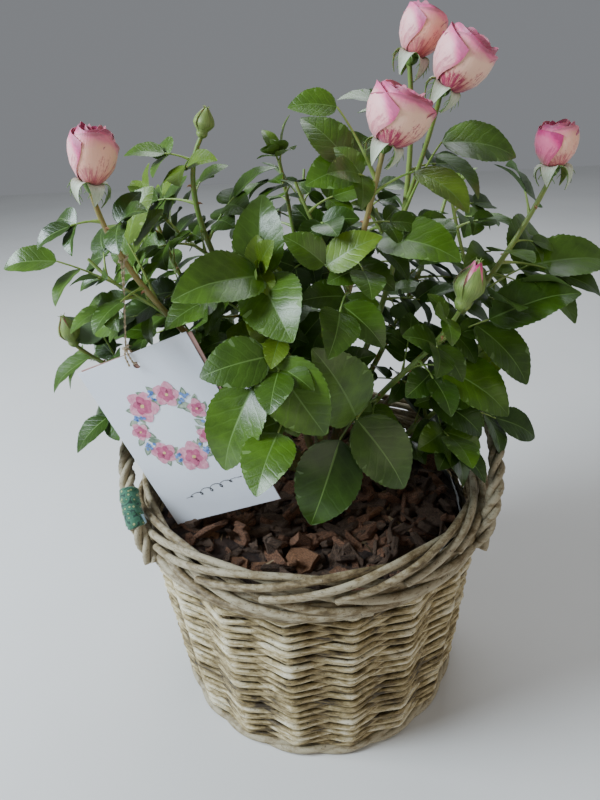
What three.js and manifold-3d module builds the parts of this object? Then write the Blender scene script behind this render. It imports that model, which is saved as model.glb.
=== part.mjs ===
// A patio rose in bloom, potted in a woven willow basket. Millimetres, +Z up.
// The origin is the centre of the basket's flat underside, +X is the rose's right and -Y its front.
import * as THREE from "three";
import { mergeVertices } from "three/addons/utils/BufferGeometryUtils.js";
import Module from "manifold-3d";

const wasm = await Module();
wasm.setup();

// Gap kept between two pieces that touch
const SEAT = 0.3;

// Basket: eighteen stakes, a flared woven wall and a plaited border on top of it
const STAKES = 18;
const ROUND_FACETS = 2 * STAKES;
const WALL_HEIGHT = 173;
const WALL_FOOT_RADIUS = 126;
const WALL_TOP_RADIUS = 140;
const WALL_THICKNESS = 9;
const FLOOR_THICKNESS = 8;
const WEAVE_ROWS = 40;
const WEAVE_SWING = 3.4;
const WEAVE_INSET = 2.4;
const BORDER_RADIUS = 137;
const BORDER_HALF_WIDTH = 8.4;
const BORDER_HALF_HEIGHT = 15.5;
const BORDER_RIDGE = 0.13;

// Two handles, each an arch of twisted rods along the rim
const HANDLE_RADIUS = 6.3;
const HANDLE_SPAN = 34;
const HANDLE_TOP = 239;
const HANDLE_FOOT_HEIGHT = 180;
const HANDLE_FOOT_REACH = 149.5;
const HANDLE_TOP_REACH = 145;
const HANDLE_TURNS = 5;
const HANDLE_SIDES = 7;
const HANDLE_STEPS = 24;
const WRAP = { shares: [0.74, 0.78, 0.82, 0.86], thickness: 1.6, sides: 9 };
const FINGER_GAP = { depth: 36, width: 52, low: 207, high: 227 };

// Filling: a thin liner, compost, and a layer of bark chips heaped at the front left
const LINER_GAP = 0.6;
const LINER_THICKNESS = 1.1;
const LINER_LOW = 90;
const LINER_HIGH = 172;
const FILL_GAP = 0.4;
const COMPOST_TOP = 148;
const BARK_LEVEL = 166;
const BARK_RADIUS = 126.6;
const BARK_HEAP = { x: -100, y: -58, height: 19, spread: 42 };
const BARK_WAVES = { high: 1.6, low: 1.2, along: 9, across: 11, slant: 17 };
const BARK_CLEARING = { from: 16, to: 30 };
const CROWN_SEAT = { radius: 17, depth: 8 };
const BARK_CHIPS = 22;
const CHIP_RING = { from: 26, rim: 16 };
const CHIP_SIZE = [19, 8, 4.5];
const CHIP_PROUD = 0.8;

// Card: two panels hung by a twine from the left flower's stem, its foot on the bark
const CARD_WIDTH = 92;
const CARD_HEIGHT = 140;
const CARD_THICKNESS = 0.6;
const CARD_FOOT = [-106, -52];
const CARD_FOOT_RISE = 1.2;
const CARD_ACROSS = [0.902, -0.207, 0.38];
const CARD_UP = [-0.386, 0.057, 0.921];
const CARD_HOLE = { across: 46, down: 9, radius: 2.6 };
const BACK_PANEL = { turn: -1.4, aside: 3 };
const TWINE_RADIUS = 0.8;
const TWINE_KNOT_RADIUS = 2.4;
const TWINE_KNOT_RISE = 5;
const TWINE_HOOK = 0.72;

// Crown: the knob at the foot of the rose that every cane springs from
const CROWN = new THREE.Vector3(8, 6, 184);
const CROWN_RADIUS = 15;
const CROWN_FOOT = { radius: 13, height: 3, flare: 1 };
const CANE_RADII = [3.2, 2.6];
const STEM_RADII = [2.5, 1.5];
const TWIG_RADII = [1.4, 1.1];
const FLOWER_TWIG_RADII = [1.6, 1.4];
const TWIG_LENGTH = 62;
const TWIG_LEAVES = 2;

// Leaflets: half widths at two stations of the length, as shares of the width and the length, then
// the width, the fold along the midrib and the arch as shares of the length, and the thickness
const LEAF_OUTLINE = [[0.3, 0.46], [0.66, 0.45]];
const LEAF_WIDTH = 0.7;
const LEAF_FOLD = 0.16;
const LEAF_ARCH = 0.07;
const LEAF_THICKNESS = 1.4;
const LEAF_MIDDLE = 0.4;
const STALK_STEPS = 2;
const STALK_RADII = [1.2, 0.8];

// A compound leaf's pairs of side leaflets, the outer pair first, and the way they stand
const PAIRS = [{ at: 0.8, size: 0.88 }, { at: 0.42, size: 0.74 }];
const PAIR_DEGREES = 63;
const PAIR_DROOP = 0.2;
const ROOT_APART = 0.12;

// The way a leaf's upper face looks: up, out from the middle of the rose, and to the light in front
const FACING = { out: 0.75, front: 0.45 };

// How much of one blade may lie in another of its own leaf, or in what its shoot already has
const SIBLING_OVERLAP = 3;
const OWN_OVERLAP = 0.5;

// Shoots: "foot" is the azimuth and elevation on the crown's knob, "stem" the four points that
// draw the leafy stem from the cane's tip, then its leaves, their size and its side twigs.
const SHOOTS = {
  bloom_left: {
    foot: [196, 50],
    stem: [[-48, -14, 283], [-84, -34, 340], [-117, -52, 385], [-121, -56, 437]],
    leaves: 3, size: 40, twigs: 1, seed: 11,
  },
  bud_low_left: {
    foot: [172, 18],
    stem: [[-78, 4, 243], [-112, 6, 280], [-150, 0, 292], [-172, -5, 321]],
    leaves: 4, size: 38, twigs: 0, seed: 23,
  },
  bud_top_left: {
    foot: [138, 68],
    stem: [[-26, 12, 300], [-52, 6, 350], [-88, 2, 420], [-61, 0, 459]],
    leaves: 5, size: 44, twigs: 1, seed: 31,
  },
  bloom_middle: {
    foot: [-78, 72],
    stem: [[18, -10, 285], [26, -26, 345], [38, -44, 395], [50, -50, 450]],
    leaves: 4, size: 46, twigs: 1, seed: 47,
  },
  bloom_pair: {
    foot: [20, 69],
    stem: [[44, 10, 293], [64, 8, 345], [82, 6, 410], [72, 0, 494]],
    leaves: 4, size: 46, twigs: 1, seed: 53,
  },
  bloom_right: {
    foot: [6, 42],
    stem: [[80, 2, 278], [112, -5, 325], [142, -16, 372], [162, -20, 428]],
    leaves: 4, size: 44, twigs: 1, seed: 61,
  },
  bud_front: {
    foot: [-38, 44],
    stem: [[44, -18, 258], [58, -36, 296], [84, -58, 322], [98, -66, 357]],
    leaves: 2, size: 46, twigs: 0, seed: 73,
  },
  front: {
    foot: [-95, 38],
    stem: [[8, -36, 250], [4, -52, 285], [-4, -60, 318], [-16, -68, 340]],
    leaves: 3, size: 50, twigs: 0, seed: 83,
  },
  front_left: {
    foot: [-142, 34],
    stem: [[-24, -16, 252], [-34, -26, 300], [-36, -34, 340], [-30, -44, 376]],
    leaves: 4, size: 50, twigs: 1, seed: 97,
  },
  low_right: {
    foot: [-12, 10],
    stem: [[60, -8, 218], [85, -14, 240], [105, -20, 262], [116, -26, 290]],
    leaves: 4, size: 44, twigs: 1, seed: 101,
  },
  back_right: {
    foot: [50, 38],
    stem: [[54, 44, 262], [85, 68, 310], [108, 84, 350], [120, 88, 396]],
    leaves: 5, size: 54, twigs: 1, seed: 113,
  },
  back: {
    foot: [95, 44],
    stem: [[8, 56, 268], [2, 88, 320], [-4, 96, 372], [-14, 84, 432]],
    leaves: 5, size: 54, twigs: 2, seed: 127,
  },
  back_left: {
    foot: [142, 30],
    stem: [[-46, 40, 258], [-82, 60, 305], [-108, 74, 350], [-118, 76, 402]],
    leaves: 5, size: 54, twigs: 1, seed: 139,
  },
};

// Side twigs that carry a flower of their own
const FLOWER_TWIGS = {
  bloom_top: { shoot: "bloom_pair", at: 0.62, bend: [86, -10, 456], tip: [87, -24, 477] },
};

// Flowers, each on the tip of the shoot or side twig of its name: the way they look, their width
// and height, and how far they are open
const FLOWERS = {
  bloom_left: { axis: [0.26, 0, 1], width: 31, height: 38, open: 0.5 },
  bloom_middle: { axis: [0.42, -0.1, 1], width: 39, height: 36, open: 0.8 },
  bloom_pair: { axis: [0.4, 0.05, 1], width: 29, height: 33, open: 0.6 },
  bloom_top: { axis: [0.55, -0.15, 0.9], width: 36, height: 37, open: 0.8 },
  bloom_right: { axis: [-0.02, 0, 1], width: 27, height: 32, open: 0.5 },
  bud_front: { axis: [0.3, 0.05, 1], width: 19, height: 33, open: 0 },
  bud_top_left: { axis: [0.3, 0, 1], width: 13, height: 19, open: 0 },
  bud_low_left: { axis: [-0.15, -0.1, 1], width: 15, height: 26, open: 0 },
};
const SEPALS = 5;
const SEPAL_LENGTH = 15;
const PETAL_LOBES = 5;
const HIP_HEIGHT = 7;
const FLOWER_FOOT_RADIUS = 1.7;
const FLOWER_SINK = 1.2;

// Leaves that give the rose its face: where each springs from its stem, where its end leaflet
// begins, where that ends, and how many pairs of side leaflets it has.
const KEY_LEAVES = [
  ["bud_front", 0.12, [20, -80, 274], [-2, -103, 220], 0],
  ["bud_front", 0.14, [32, -72, 286], [6, -84, 342], 0],
  ["bud_front", 0.16, [32, -75, 286], [64, -92, 240], 0],
  ["bud_front", 0.3, [43, -64, 284], [79, -76, 267], 0],
  ["bud_front", 0.5, [89, -60, 316], [134, -78, 287], 0],
  ["bud_front", 0.6, [124, -42, 340], [179, -50, 362], 1],
  ["front", 0.7, [-21, -84, 336], [10, -104, 292], 0],
  ["front", 0.85, [-23, -84, 339], [-65, -96, 333], 0],
  ["front", 0.6, [-32, -86, 324], [-59, -104, 269], 0],
  ["front", 0.4, [-29, -80, 290], [-36, -90, 250], 0],
  ["front", 0.95, [32, -60, 349], [-11, -80, 343], 0],
  ["front_left", 0.9, [-25, -50, 380], [-76, -85, 382], 1],
  ["front_left", 0.7, [-57, -46, 366], [-90, -62, 352], 0],
  ["bloom_middle", 0.4, [14, -60, 388], [-10, -60, 407], 0],
  ["bloom_middle", 0.45, [15, -60, 387], [47, -66, 406], 0],
  ["bloom_middle", 0.6, [49, -40, 398], [95, -70, 391], 0],
  ["bloom_middle", 0.85, [69, -50, 438], [98, -70, 418], 0],
  ["bloom_pair", 0.6, [88, -30, 451], [134, -32, 442], 1],
  ["bloom_middle", 0.9, [24, -45, 474], [-4, -45, 476], 0],
  ["low_right", 0.6, [98, -36, 255], [119, -52, 209], 0],
  ["low_right", 0.8, [88, -40, 282], [126, -52, 256], 0],
  ["bloom_right", 0.45, [160, -10, 367], [222, -8, 368], 1],
  ["bloom_left", 0.42, [-152, -52, 396], [-186, -54, 396], 1],
  ["bloom_left", 0.5, [-112, -30, 400], [-92, -26, 434], 1],
  ["bud_low_left", 0.7, [-162, -8, 312], [-195, -16, 290], 0],
  ["bud_top_left", 0.2, [-112, 4, 324], [-151, -2, 330], 0],
];

const COLOURS = {
  willow: 0x9a8b78, twine: 0xb39a74, wrap: 0x2f6b4a, liner: 0xb9bcc0, compost: 0x2c1f18,
  bark: 0x6b3a22, card: 0xf4f3f2, card_back: 0xb48a86, crown: 0x6d6840, cane: 0x56702f,
  leaf: 0x2f6a24,
};

const at = (values) => new THREE.Vector3(...values);
const radians = THREE.MathUtils.degToRad;
const GOLDEN_ANGLE = radians(137.5);

// A repeatable stream of numbers from 0 to 1
function dice(seed) {
  let state = seed;
  return () => {
    state = (Math.imul(state, 1664525) + 1013904223) >>> 0;
    return state / 2 ** 32;
  };
}

// A closed geometry as a solid that can be joined and cut
function solidOf(geometry) {
  const bare = geometry.clone();
  bare.deleteAttribute("normal");
  bare.deleteAttribute("uv");
  const merged = mergeVertices(bare, 1e-4);
  const made = new wasm.Manifold(new wasm.Mesh({
    numProp: 3,
    vertProperties: merged.attributes.position.array,
    triVerts: new Uint32Array(merged.index.array),
  }));
  if (made.volume() < 0) throw new Error("a shape is inside out");
  return made;
}

function geometryOf(solid) {
  const { vertProperties, triVerts } = solid.getMesh();
  const geometry = new THREE.BufferGeometry();
  geometry.setAttribute("position", new THREE.BufferAttribute(vertProperties, 3));
  geometry.setIndex(new THREE.BufferAttribute(triVerts, 1));
  geometry.computeVertexNormals();
  return geometry;
}

const biggest = (solid) => solid.decompose().sort((a, b) => b.volume() - a.volume())[0];

// A turned shape: the profile's points are [radius, height], and "shape" may move each vertex
function turned(profile, segments, shape = (point) => point) {
  const points = profile.map(([radius, height]) => new THREE.Vector2(radius, height));
  const geometry = new THREE.LatheGeometry(points, segments).rotateX(Math.PI / 2);
  const place = geometry.attributes.position;
  for (let i = 0; i < place.count; i++) {
    const point = shape(new THREE.Vector3().fromBufferAttribute(place, i));
    place.setXYZ(i, point.x, point.y, point.z);
  }
  return solidOf(geometry);
}

// A rod bent along a curve: "reach" gives its radius from the share of its length and the angle
function rod(curve, sides, steps, reach) {
  const straight = new THREE.CylinderGeometry(1, 1, 1, sides, steps);
  const { normals, binormals } = curve.computeFrenetFrames(steps, false);
  const place = straight.attributes.position;
  for (let i = 0; i < place.count; i++) {
    const share = place.getY(i) + 0.5;
    const step = Math.round(share * steps);
    const angle = Math.atan2(place.getZ(i), place.getX(i));
    const radius = Math.hypot(place.getX(i), place.getZ(i)) * reach(share, angle);
    const point = curve.getPointAt(share)
      .addScaledVector(normals[step], radius * Math.cos(angle))
      .addScaledVector(binormals[step], -radius * Math.sin(angle));
    place.setXYZ(i, point.x, point.y, point.z);
  }
  return solidOf(straight);
}

const limb = (curve, [first, last], sides, steps, extra = 0) =>
  rod(curve, sides, steps, (share) => first + (last - first) * share + extra);

// Basket

const wallRadius = (height) =>
  WALL_FOOT_RADIUS + (WALL_TOP_RADIUS - WALL_FOOT_RADIUS) * Math.min(1, height / WALL_HEIGHT);
const innerRadius = (height) => wallRadius(height) - WALL_THICKNESS;

// Each row of the weave swings out past one stake and in behind the next, by turns, and runs straight
// between them, so the outside has one corner for each stake
function basketWall() {
  const top = WALL_HEIGHT - SEAT;
  const pitch = top / (WEAVE_ROWS + 1);
  const rows = Array.from({ length: WEAVE_ROWS }, (_, i) =>
    [wallRadius((i + 1) * pitch), (i + 1) * pitch]);
  const outside = [[0, 0], [WALL_FOOT_RADIUS, 0], ...rows, [WALL_TOP_RADIUS, top], [0, top]];
  const toStake = new THREE.Quaternion().setFromAxisAngle(new THREE.Vector3(0, 0, 1), Math.PI / STAKES);
  const woven = turned(outside, STAKES, (point) => {
    point.applyQuaternion(toStake);
    const row = Math.round(point.z / pitch);
    const radius = Math.hypot(point.x, point.y);
    if (row < 1 || row > WEAVE_ROWS || radius < 1) return point;
    const bearing = Math.atan2(point.y, point.x);
    const swing = WEAVE_SWING * Math.cos((STAKES / 2) * bearing + Math.PI * row);
    const scale = 1 + (swing - WEAVE_INSET) / radius;
    return point.set(point.x * scale, point.y * scale, point.z);
  });
  return woven.subtract(turned([
    [0, FLOOR_THICKNESS], [innerRadius(FLOOR_THICKNESS), FLOOR_THICKNESS],
    [innerRadius(WALL_HEIGHT), WALL_HEIGHT], [0, WALL_HEIGHT],
  ], ROUND_FACETS));
}

// The border is a ring whose ridges run slantwise, one for each rod of the plait
function basketBorder(extra = 0) {
  const middle = WALL_HEIGHT + BORDER_HALF_HEIGHT;
  const sides = 8;
  const profile = Array.from({ length: sides + 1 }, (_, i) => {
    const angle = (-2 * Math.PI * (i % sides)) / sides;
    return [Math.cos(angle), Math.sin(angle)];
  }).reverse();
  const ring = profile.map(([out, up]) => [BORDER_RADIUS + out, up]);
  return turned(ring, 3 * STAKES, (point) => {
    const bearing = Math.atan2(point.y, point.x);
    const out = Math.hypot(point.x, point.y) - BORDER_RADIUS;
    const slant = Math.atan2(point.z, out);
    const ridge = 1 + BORDER_RIDGE * Math.cos(STAKES * bearing + 2 * slant);
    const radius = BORDER_RADIUS + out * (BORDER_HALF_WIDTH * ridge + extra);
    const height = middle + point.z * (BORDER_HALF_HEIGHT * ridge + extra);
    const low = WALL_HEIGHT - extra;
    return point.set(radius * Math.cos(bearing), radius * Math.sin(bearing), Math.max(low, height));
  });
}

const onRim = (bearing, reach, height) =>
  new THREE.Vector3(reach * Math.cos(bearing), reach * Math.sin(bearing), height);

function handleCurve(middle) {
  const stops = [
    [-1, HANDLE_FOOT_REACH, HANDLE_FOOT_HEIGHT], [-0.8, HANDLE_FOOT_REACH, 206],
    [-0.45, 147, 229], [0, HANDLE_TOP_REACH, HANDLE_TOP], [0.45, 147, 229],
    [0.8, HANDLE_FOOT_REACH, 206], [1, HANDLE_FOOT_REACH, HANDLE_FOOT_HEIGHT],
  ];
  return new THREE.CatmullRomCurve3(stops.map(([share, reach, height]) =>
    onRim(middle + share * radians(HANDLE_SPAN), reach, height)));
}

// Three rods twisted round each other, so the section has three lobes that turn on the way
const twisted = (radius) => (share, angle) =>
  radius * (0.9 + 0.1 * Math.cos(3 * angle - 2 * Math.PI * HANDLE_TURNS * share));

function handle(middle) {
  const arch = rod(handleCurve(middle), HANDLE_SIDES, HANDLE_STEPS, twisted(HANDLE_RADIUS));
  return biggest(arch.subtract(basketBorder(SEAT)));
}

// A strip of cloth wound round the near leg of the left handle
function handleWrap() {
  const whole = handleCurve(Math.PI);
  const leg = new THREE.CatmullRomCurve3(WRAP.shares.map((share) => whole.getPointAt(share)));
  const sleeve = rod(leg, WRAP.sides, WRAP.shares.length - 1, () => HANDLE_RADIUS + WRAP.thickness);
  const core = rod(whole, HANDLE_SIDES, HANDLE_STEPS, twisted(HANDLE_RADIUS + SEAT + 0.1));
  return biggest(sleeve.subtract(core).subtract(basketBorder(SEAT)));
}

// Filling

function liner() {
  const outer = (height) => innerRadius(height) - LINER_GAP;
  return turned([
    [outer(LINER_LOW), LINER_LOW], [outer(LINER_HIGH), LINER_HIGH],
    [outer(LINER_HIGH) - LINER_THICKNESS, LINER_HIGH],
    [outer(LINER_LOW) - LINER_THICKNESS, LINER_LOW], [outer(LINER_LOW), LINER_LOW],
  ], ROUND_FACETS);
}

const fillRadius = (height) => innerRadius(height) - LINER_GAP - LINER_THICKNESS - FILL_GAP;

function compost() {
  const low = FLOOR_THICKNESS + SEAT;
  return turned([[0, low], [fillRadius(low), low], [fillRadius(COMPOST_TOP), COMPOST_TOP],
    [0, COMPOST_TOP]], ROUND_FACETS);
}

function barkHeight(x, y) {
  const { x: heapX, y: heapY, height, spread } = BARK_HEAP;
  const heap = height * Math.exp(-((x - heapX) ** 2 + (y - heapY) ** 2) / (2 * spread ** 2));
  const { high, low, along, across, slant } = BARK_WAVES;
  const rough = high * Math.sin(x / along + 1.3) * Math.cos(y / across)
    + low * Math.sin((x + 2 * y) / slant);
  const away = Math.hypot(x - CROWN.x, y - CROWN.y);
  return BARK_LEVEL
    + (heap + rough) * THREE.MathUtils.smoothstep(away, BARK_CLEARING.from, BARK_CLEARING.to);
}

// One chip: a six-sided sliver, laid at a random slope and sunk to its middle in the layer
function barkChip(roll) {
  const bearing = 2 * Math.PI * roll();
  const { from, rim } = CHIP_RING;
  const away = from + (BARK_RADIUS - from - rim) * Math.sqrt(roll());
  const scale = 0.75 + 0.5 * roll();
  const slope = [0.5 * (roll() - 0.5), 0.7 * (roll() - 0.5), 2 * Math.PI * roll()];
  const x = CROWN.x + away * Math.cos(bearing);
  const y = CROWN.y + away * Math.sin(bearing);
  if (Math.hypot(x, y) > BARK_RADIUS - CHIP_SIZE[0] * 0.7) return null;
  const [length, width, thickness] = CHIP_SIZE;
  const chip = new THREE.BoxGeometry(length * scale, width * scale, thickness * scale);
  const place = chip.attributes.position;
  for (let i = 0; i < place.count; i++) // one end is narrower, as a split sliver is
    if (place.getX(i) > 0) place.setY(i, place.getY(i) * 0.5);
  chip.rotateX(slope[0]).rotateY(slope[1]).rotateZ(slope[2]);
  return solidOf(chip.translate(x, y, barkHeight(x, y) + CHIP_PROUD));
}

function barkMulch(card) {
  const low = COMPOST_TOP + SEAT;
  const rings = [1, 0.78, 0.55, 0.3];
  const profile = [[0, low], [fillRadius(low), low], [fillRadius(low + 8), low + 8],
    ...rings.map((share) => [BARK_RADIUS * share, BARK_LEVEL]), [0, BARK_LEVEL]];
  const layer = turned(profile, ROUND_FACETS, (point) =>
    point.z < BARK_LEVEL - 1 ? point : point.setZ(barkHeight(point.x, point.y)));
  const roll = dice(5);
  const seat = (from, to) => turned([[0, from], [CROWN_SEAT.radius, from], [CROWN_SEAT.radius, to],
    [0, to]], 12).translate([CROWN.x, CROWN.y, 0]);
  const chips = [];
  for (let i = 0; i < BARK_CHIPS; i++) {
    const chip = barkChip(roll);
    if (chip && clearOf(chip, [card, ...chips])) chips.push(chip);
  }
  const whole = chips.reduce((sum, chip) => sum.add(chip), layer);
  const level = whole.subtract(seat(BARK_LEVEL, BARK_LEVEL + BARK_HEAP.height));
  return biggest(level.add(seat(BARK_LEVEL - CROWN_SEAT.depth, BARK_LEVEL)));
}

// Card

function cardFrame() {
  const across = at(CARD_ACROSS).normalize();
  const facing = across.clone().cross(at(CARD_UP)).normalize();
  const up = facing.clone().cross(across);
  const foot = at([...CARD_FOOT, 0]).setZ(barkHeight(...CARD_FOOT) + CARD_FOOT_RISE);
  return new THREE.Matrix4().makeBasis(across, up, facing).setPosition(foot);
}

// A point of the card at its hole, "up" above the hole's middle and "out" in front of the panel
const holePoint = (up, out) =>
  new THREE.Vector3(CARD_HOLE.across, CARD_HEIGHT - CARD_HOLE.down + up, out).applyMatrix4(cardFrame());

function cardPanel({ turn, aside }, behind) {
  const { across, down, radius } = CARD_HOLE;
  const hole = new THREE.CylinderGeometry(radius, radius, 2 * down, 8).rotateX(Math.PI / 2);
  const sheet = new THREE.BoxGeometry(CARD_WIDTH, CARD_HEIGHT, CARD_THICKNESS)
    .translate(CARD_WIDTH / 2 - across, down - CARD_HEIGHT / 2, -behind)
    .rotateZ(radians(turn)).translate(aside, 0, 0);
  const frame = cardFrame().multiply(
    new THREE.Matrix4().makeTranslation(across, CARD_HEIGHT - down, CARD_THICKNESS / 2));
  return solidOf(sheet).subtract(solidOf(hole)).transform(frame.elements);
}

// A loop round the stem, two strands down from it to a knot, and a link through the card's hole
function tagTwine(stem) {
  const hook = stem.getPoint(TWINE_HOOK);
  const [aside, back] = acrossStem(stem.getTangent(TWINE_HOOK));
  const [thick, thin] = STEM_RADII;
  const clear = thick + (thin - thick) * TWINE_HOOK + TWINE_RADIUS + 2 * SEAT;
  const round = [-70, -30, 10, 50, 90, 130, 170, 210, 250].map((degrees) => hook.clone()
    .addScaledVector(aside, clear * Math.cos(radians(degrees)))
    .addScaledVector(back, clear * Math.sin(radians(degrees))));
  const edge = CARD_HOLE.down;
  const knot = holePoint(edge + TWINE_KNOT_RISE, 0);
  const bearing = CARD_HOLE.radius * Math.cos(Math.PI / 8) - TWINE_RADIUS - SEAT;
  const front = TWINE_RADIUS + CARD_THICKNESS + 2 * SEAT;
  const behind = front + 2 * CARD_THICKNESS;
  const link = [knot, holePoint(edge, front), holePoint(bearing + 1, front), holePoint(bearing, 0),
    holePoint(bearing + 1, -behind), holePoint(edge, -behind), knot];
  const curve = (points) => new THREE.CatmullRomCurve3(points, false, "centripetal");
  const strands = [[curve(round), 10], [curve(link), 14],
    [new THREE.LineCurve3(knot, round[0]), 1], [new THREE.LineCurve3(knot, round.at(-1)), 1]];
  const lump = solidOf(new THREE.IcosahedronGeometry(TWINE_KNOT_RADIUS, 0)
    .scale(1, 1, 1.3).translate(knot.x, knot.y, knot.z));
  return strands.reduce((sum, [path, steps]) => sum.add(rod(path, 4, steps, () => TWINE_RADIUS)), lump);
}

// Crown and canes

function crownKnob() {
  const low = BARK_LEVEL + SEAT - CROWN.z;
  const { radius, height, flare } = CROWN_FOOT;
  const profile = [[0, low], [radius, low], [radius - flare, low + height]];
  for (const degrees of [-20, 5, 30, 55, 75])
    profile.push([CROWN_RADIUS * Math.cos(radians(degrees)), CROWN_RADIUS * Math.sin(radians(degrees))]);
  return turned([...profile, [0, CROWN_RADIUS]], 12).translate(CROWN.toArray());
}

const stemCurve = (points) => new THREE.CubicBezierCurve3(...points.map(at));

function caneCurve({ foot: [azimuth, elevation], stem }) {
  const away = new THREE.Vector3(1, 0, 0)
    .applyAxisAngle(new THREE.Vector3(0, -1, 0), radians(elevation))
    .applyAxisAngle(new THREE.Vector3(0, 0, 1), radians(azimuth));
  const tip = at(stem[0]);
  const onward = at(stem[1]).sub(tip).normalize();
  const start = CROWN.clone().addScaledVector(away, CROWN_RADIUS + SEAT);
  const reach = start.distanceTo(tip) / 3;
  const end = tip.clone().addScaledVector(onward, -SEAT);
  return new THREE.CubicBezierCurve3(start, start.clone().addScaledVector(away, reach),
    end.clone().addScaledVector(onward, -reach), end);
}

// Leaves

// The corners of a blade: its rim from the right of its root round to the left, then its two faces
function bladeCorners(base, tip, facing, extra) {
  const along = tip.clone().sub(base);
  const length = along.length();
  along.normalize();
  const side = along.clone().cross(facing).normalize();
  const up = side.clone().cross(along);
  const width = length * LEAF_WIDTH + 2 * extra;
  const point = (share, out, raised) => base.clone().addScaledVector(along, share * length)
    .addScaledVector(side, out)
    .addScaledVector(up, LEAF_ARCH * length * 4 * share * (1 - share) + LEAF_FOLD * Math.abs(out) + raised);
  const right = LEAF_OUTLINE.map(([share, half]) => point(share, half * width, 0));
  const left = LEAF_OUTLINE.map(([share, half]) => point(share, -half * width, 0)).reverse();
  const thickness = LEAF_THICKNESS / 2 + extra;
  return [...right, point(1 + extra / length, 0, 0), ...left,
    point(LEAF_MIDDLE, 0, thickness), point(LEAF_MIDDLE, 0, -thickness)];
}

function closedMesh(points, faces) {
  const geometry = new THREE.BufferGeometry().setFromPoints(points);
  geometry.setIndex(faces.flat());
  return solidOf(geometry);
}

// A side leaflet: its root is a point inside the stalk
function leaflet(base, tip, facing, extra = 0) {
  const points = [base, ...bladeCorners(base, tip, facing, extra)];
  const [top, bottom] = [points.length - 2, points.length - 1];
  const faces = Array.from({ length: top }, (_, i) => {
    const next = (i + 1) % top;
    return [top, i, next, bottom, next, i];
  });
  return closedMesh(points, faces);
}

// A three-sided stalk that runs on into the end leaflet
function stalkedLeaflet(stalk, tip, facing, extra = 0) {
  const points = [];
  const faces = [[0, 1, 2]];
  for (let i = 0; i <= STALK_STEPS; i++) {
    const share = i / STALK_STEPS;
    const along = stalk.getTangent(share);
    const side = along.clone().cross(facing).normalize();
    const up = side.clone().cross(along);
    const radius = STALK_RADII[0] + (STALK_RADII[1] - STALK_RADII[0]) * share + extra;
    for (const degrees of [30, 150, 270])
      points.push(stalk.getPoint(share).addScaledVector(side, radius * Math.cos(radians(degrees)))
        .addScaledVector(up, radius * Math.sin(radians(degrees))));
  }
  for (let i = 0; i < 3 * STALK_STEPS; i++) {
    const next = i - (i % 3) + ((i + 1) % 3);
    faces.push([i, i + 3, next], [next, i + 3, next + 3]);
  }
  const first = points.length;
  points.push(...bladeCorners(stalk.getPoint(1), tip, facing, extra));
  const [top, bottom] = [points.length - 2, points.length - 1];
  const [right, left, low] = [first - 3, first - 2, first - 1];
  const upper = [right, ...Array.from({ length: top - first }, (_, i) => first + i), left];
  const lower = [low, ...upper.slice(1, -1)];
  upper.forEach((corner, i) => faces.push([top, corner, upper[(i + 1) % upper.length]]));
  lower.forEach((corner, i) => faces.push([bottom, lower[(i + 1) % lower.length], corner]));
  faces.push([low, first, right], [low, left, top - 1]);
  return closedMesh(points, faces);
}

function leafFacing(point, roll) {
  const out = new THREE.Vector3(point.x, point.y, 0).normalize();
  return new THREE.Vector3(roll * 0.5, roll * 0.3 - FACING.front, 1).addScaledVector(out, FACING.out);
}

// A compound leaf: its stalk, its end leaflet and its pairs of side leaflets
function leafParts(from, elbow, tip, pairs, roll) {
  const rise = from.distanceTo(elbow) * 0.12;
  const middle = from.clone().add(elbow).multiplyScalar(0.5).add(new THREE.Vector3(0, 0, rise));
  const stalk = new THREE.QuadraticBezierCurve3(from, middle, elbow);
  const facing = leafFacing(elbow, roll);
  const size = elbow.distanceTo(tip);
  const leaflets = [];
  for (const pair of PAIRS.slice(0, pairs)) {
    const base = stalk.getPoint(pair.at);
    const along = elbow.clone().sub(middle).normalize();
    const side = along.clone().cross(facing).normalize();
    for (const hand of [1, -1]) {
      const reach = along.clone().multiplyScalar(Math.cos(radians(PAIR_DEGREES)))
        .addScaledVector(side, hand * Math.sin(radians(PAIR_DEGREES)))
        .add(new THREE.Vector3(0, 0, -PAIR_DROOP));
      const root = base.clone().addScaledVector(side, hand * ROOT_APART);
      leaflets.push([root, root.clone().addScaledVector(reach.normalize(), size * pair.size)]);
    }
  }
  return { stalk, tip, facing, leaflets };
}

// Two directions square to a stem, to turn round it by
function acrossStem(along) {
  const first = new THREE.Vector3(0, 1, 0).cross(along).normalize();
  return [first, along.clone().cross(first)];
}

// A leaf grown by rule: it leaves the stem sideways and outwards, and droops to its point
function ruledLeaf(curve, share, bearing, size, pairs, roll) {
  const from = curve.getPoint(share);
  const along = curve.getTangent(share);
  const [first, second] = acrossStem(along);
  const out = new THREE.Vector3(from.x, from.y, 0).normalize();
  const way = first.multiplyScalar(Math.cos(bearing)).addScaledVector(second, Math.sin(bearing))
    .addScaledVector(out, 0.5).addScaledVector(along, 0.35).normalize();
  const reach = size * (pairs === 2 ? 1.15 : 0.75);
  const elbow = from.clone().addScaledVector(way, reach).add(new THREE.Vector3(0, 0, -0.12 * reach));
  const onward = way.clone().add(new THREE.Vector3(0, 0, -0.35 - 0.35 * Math.abs(roll))).normalize();
  return leafParts(from, elbow, elbow.clone().addScaledVector(onward, size), pairs, roll);
}

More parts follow.
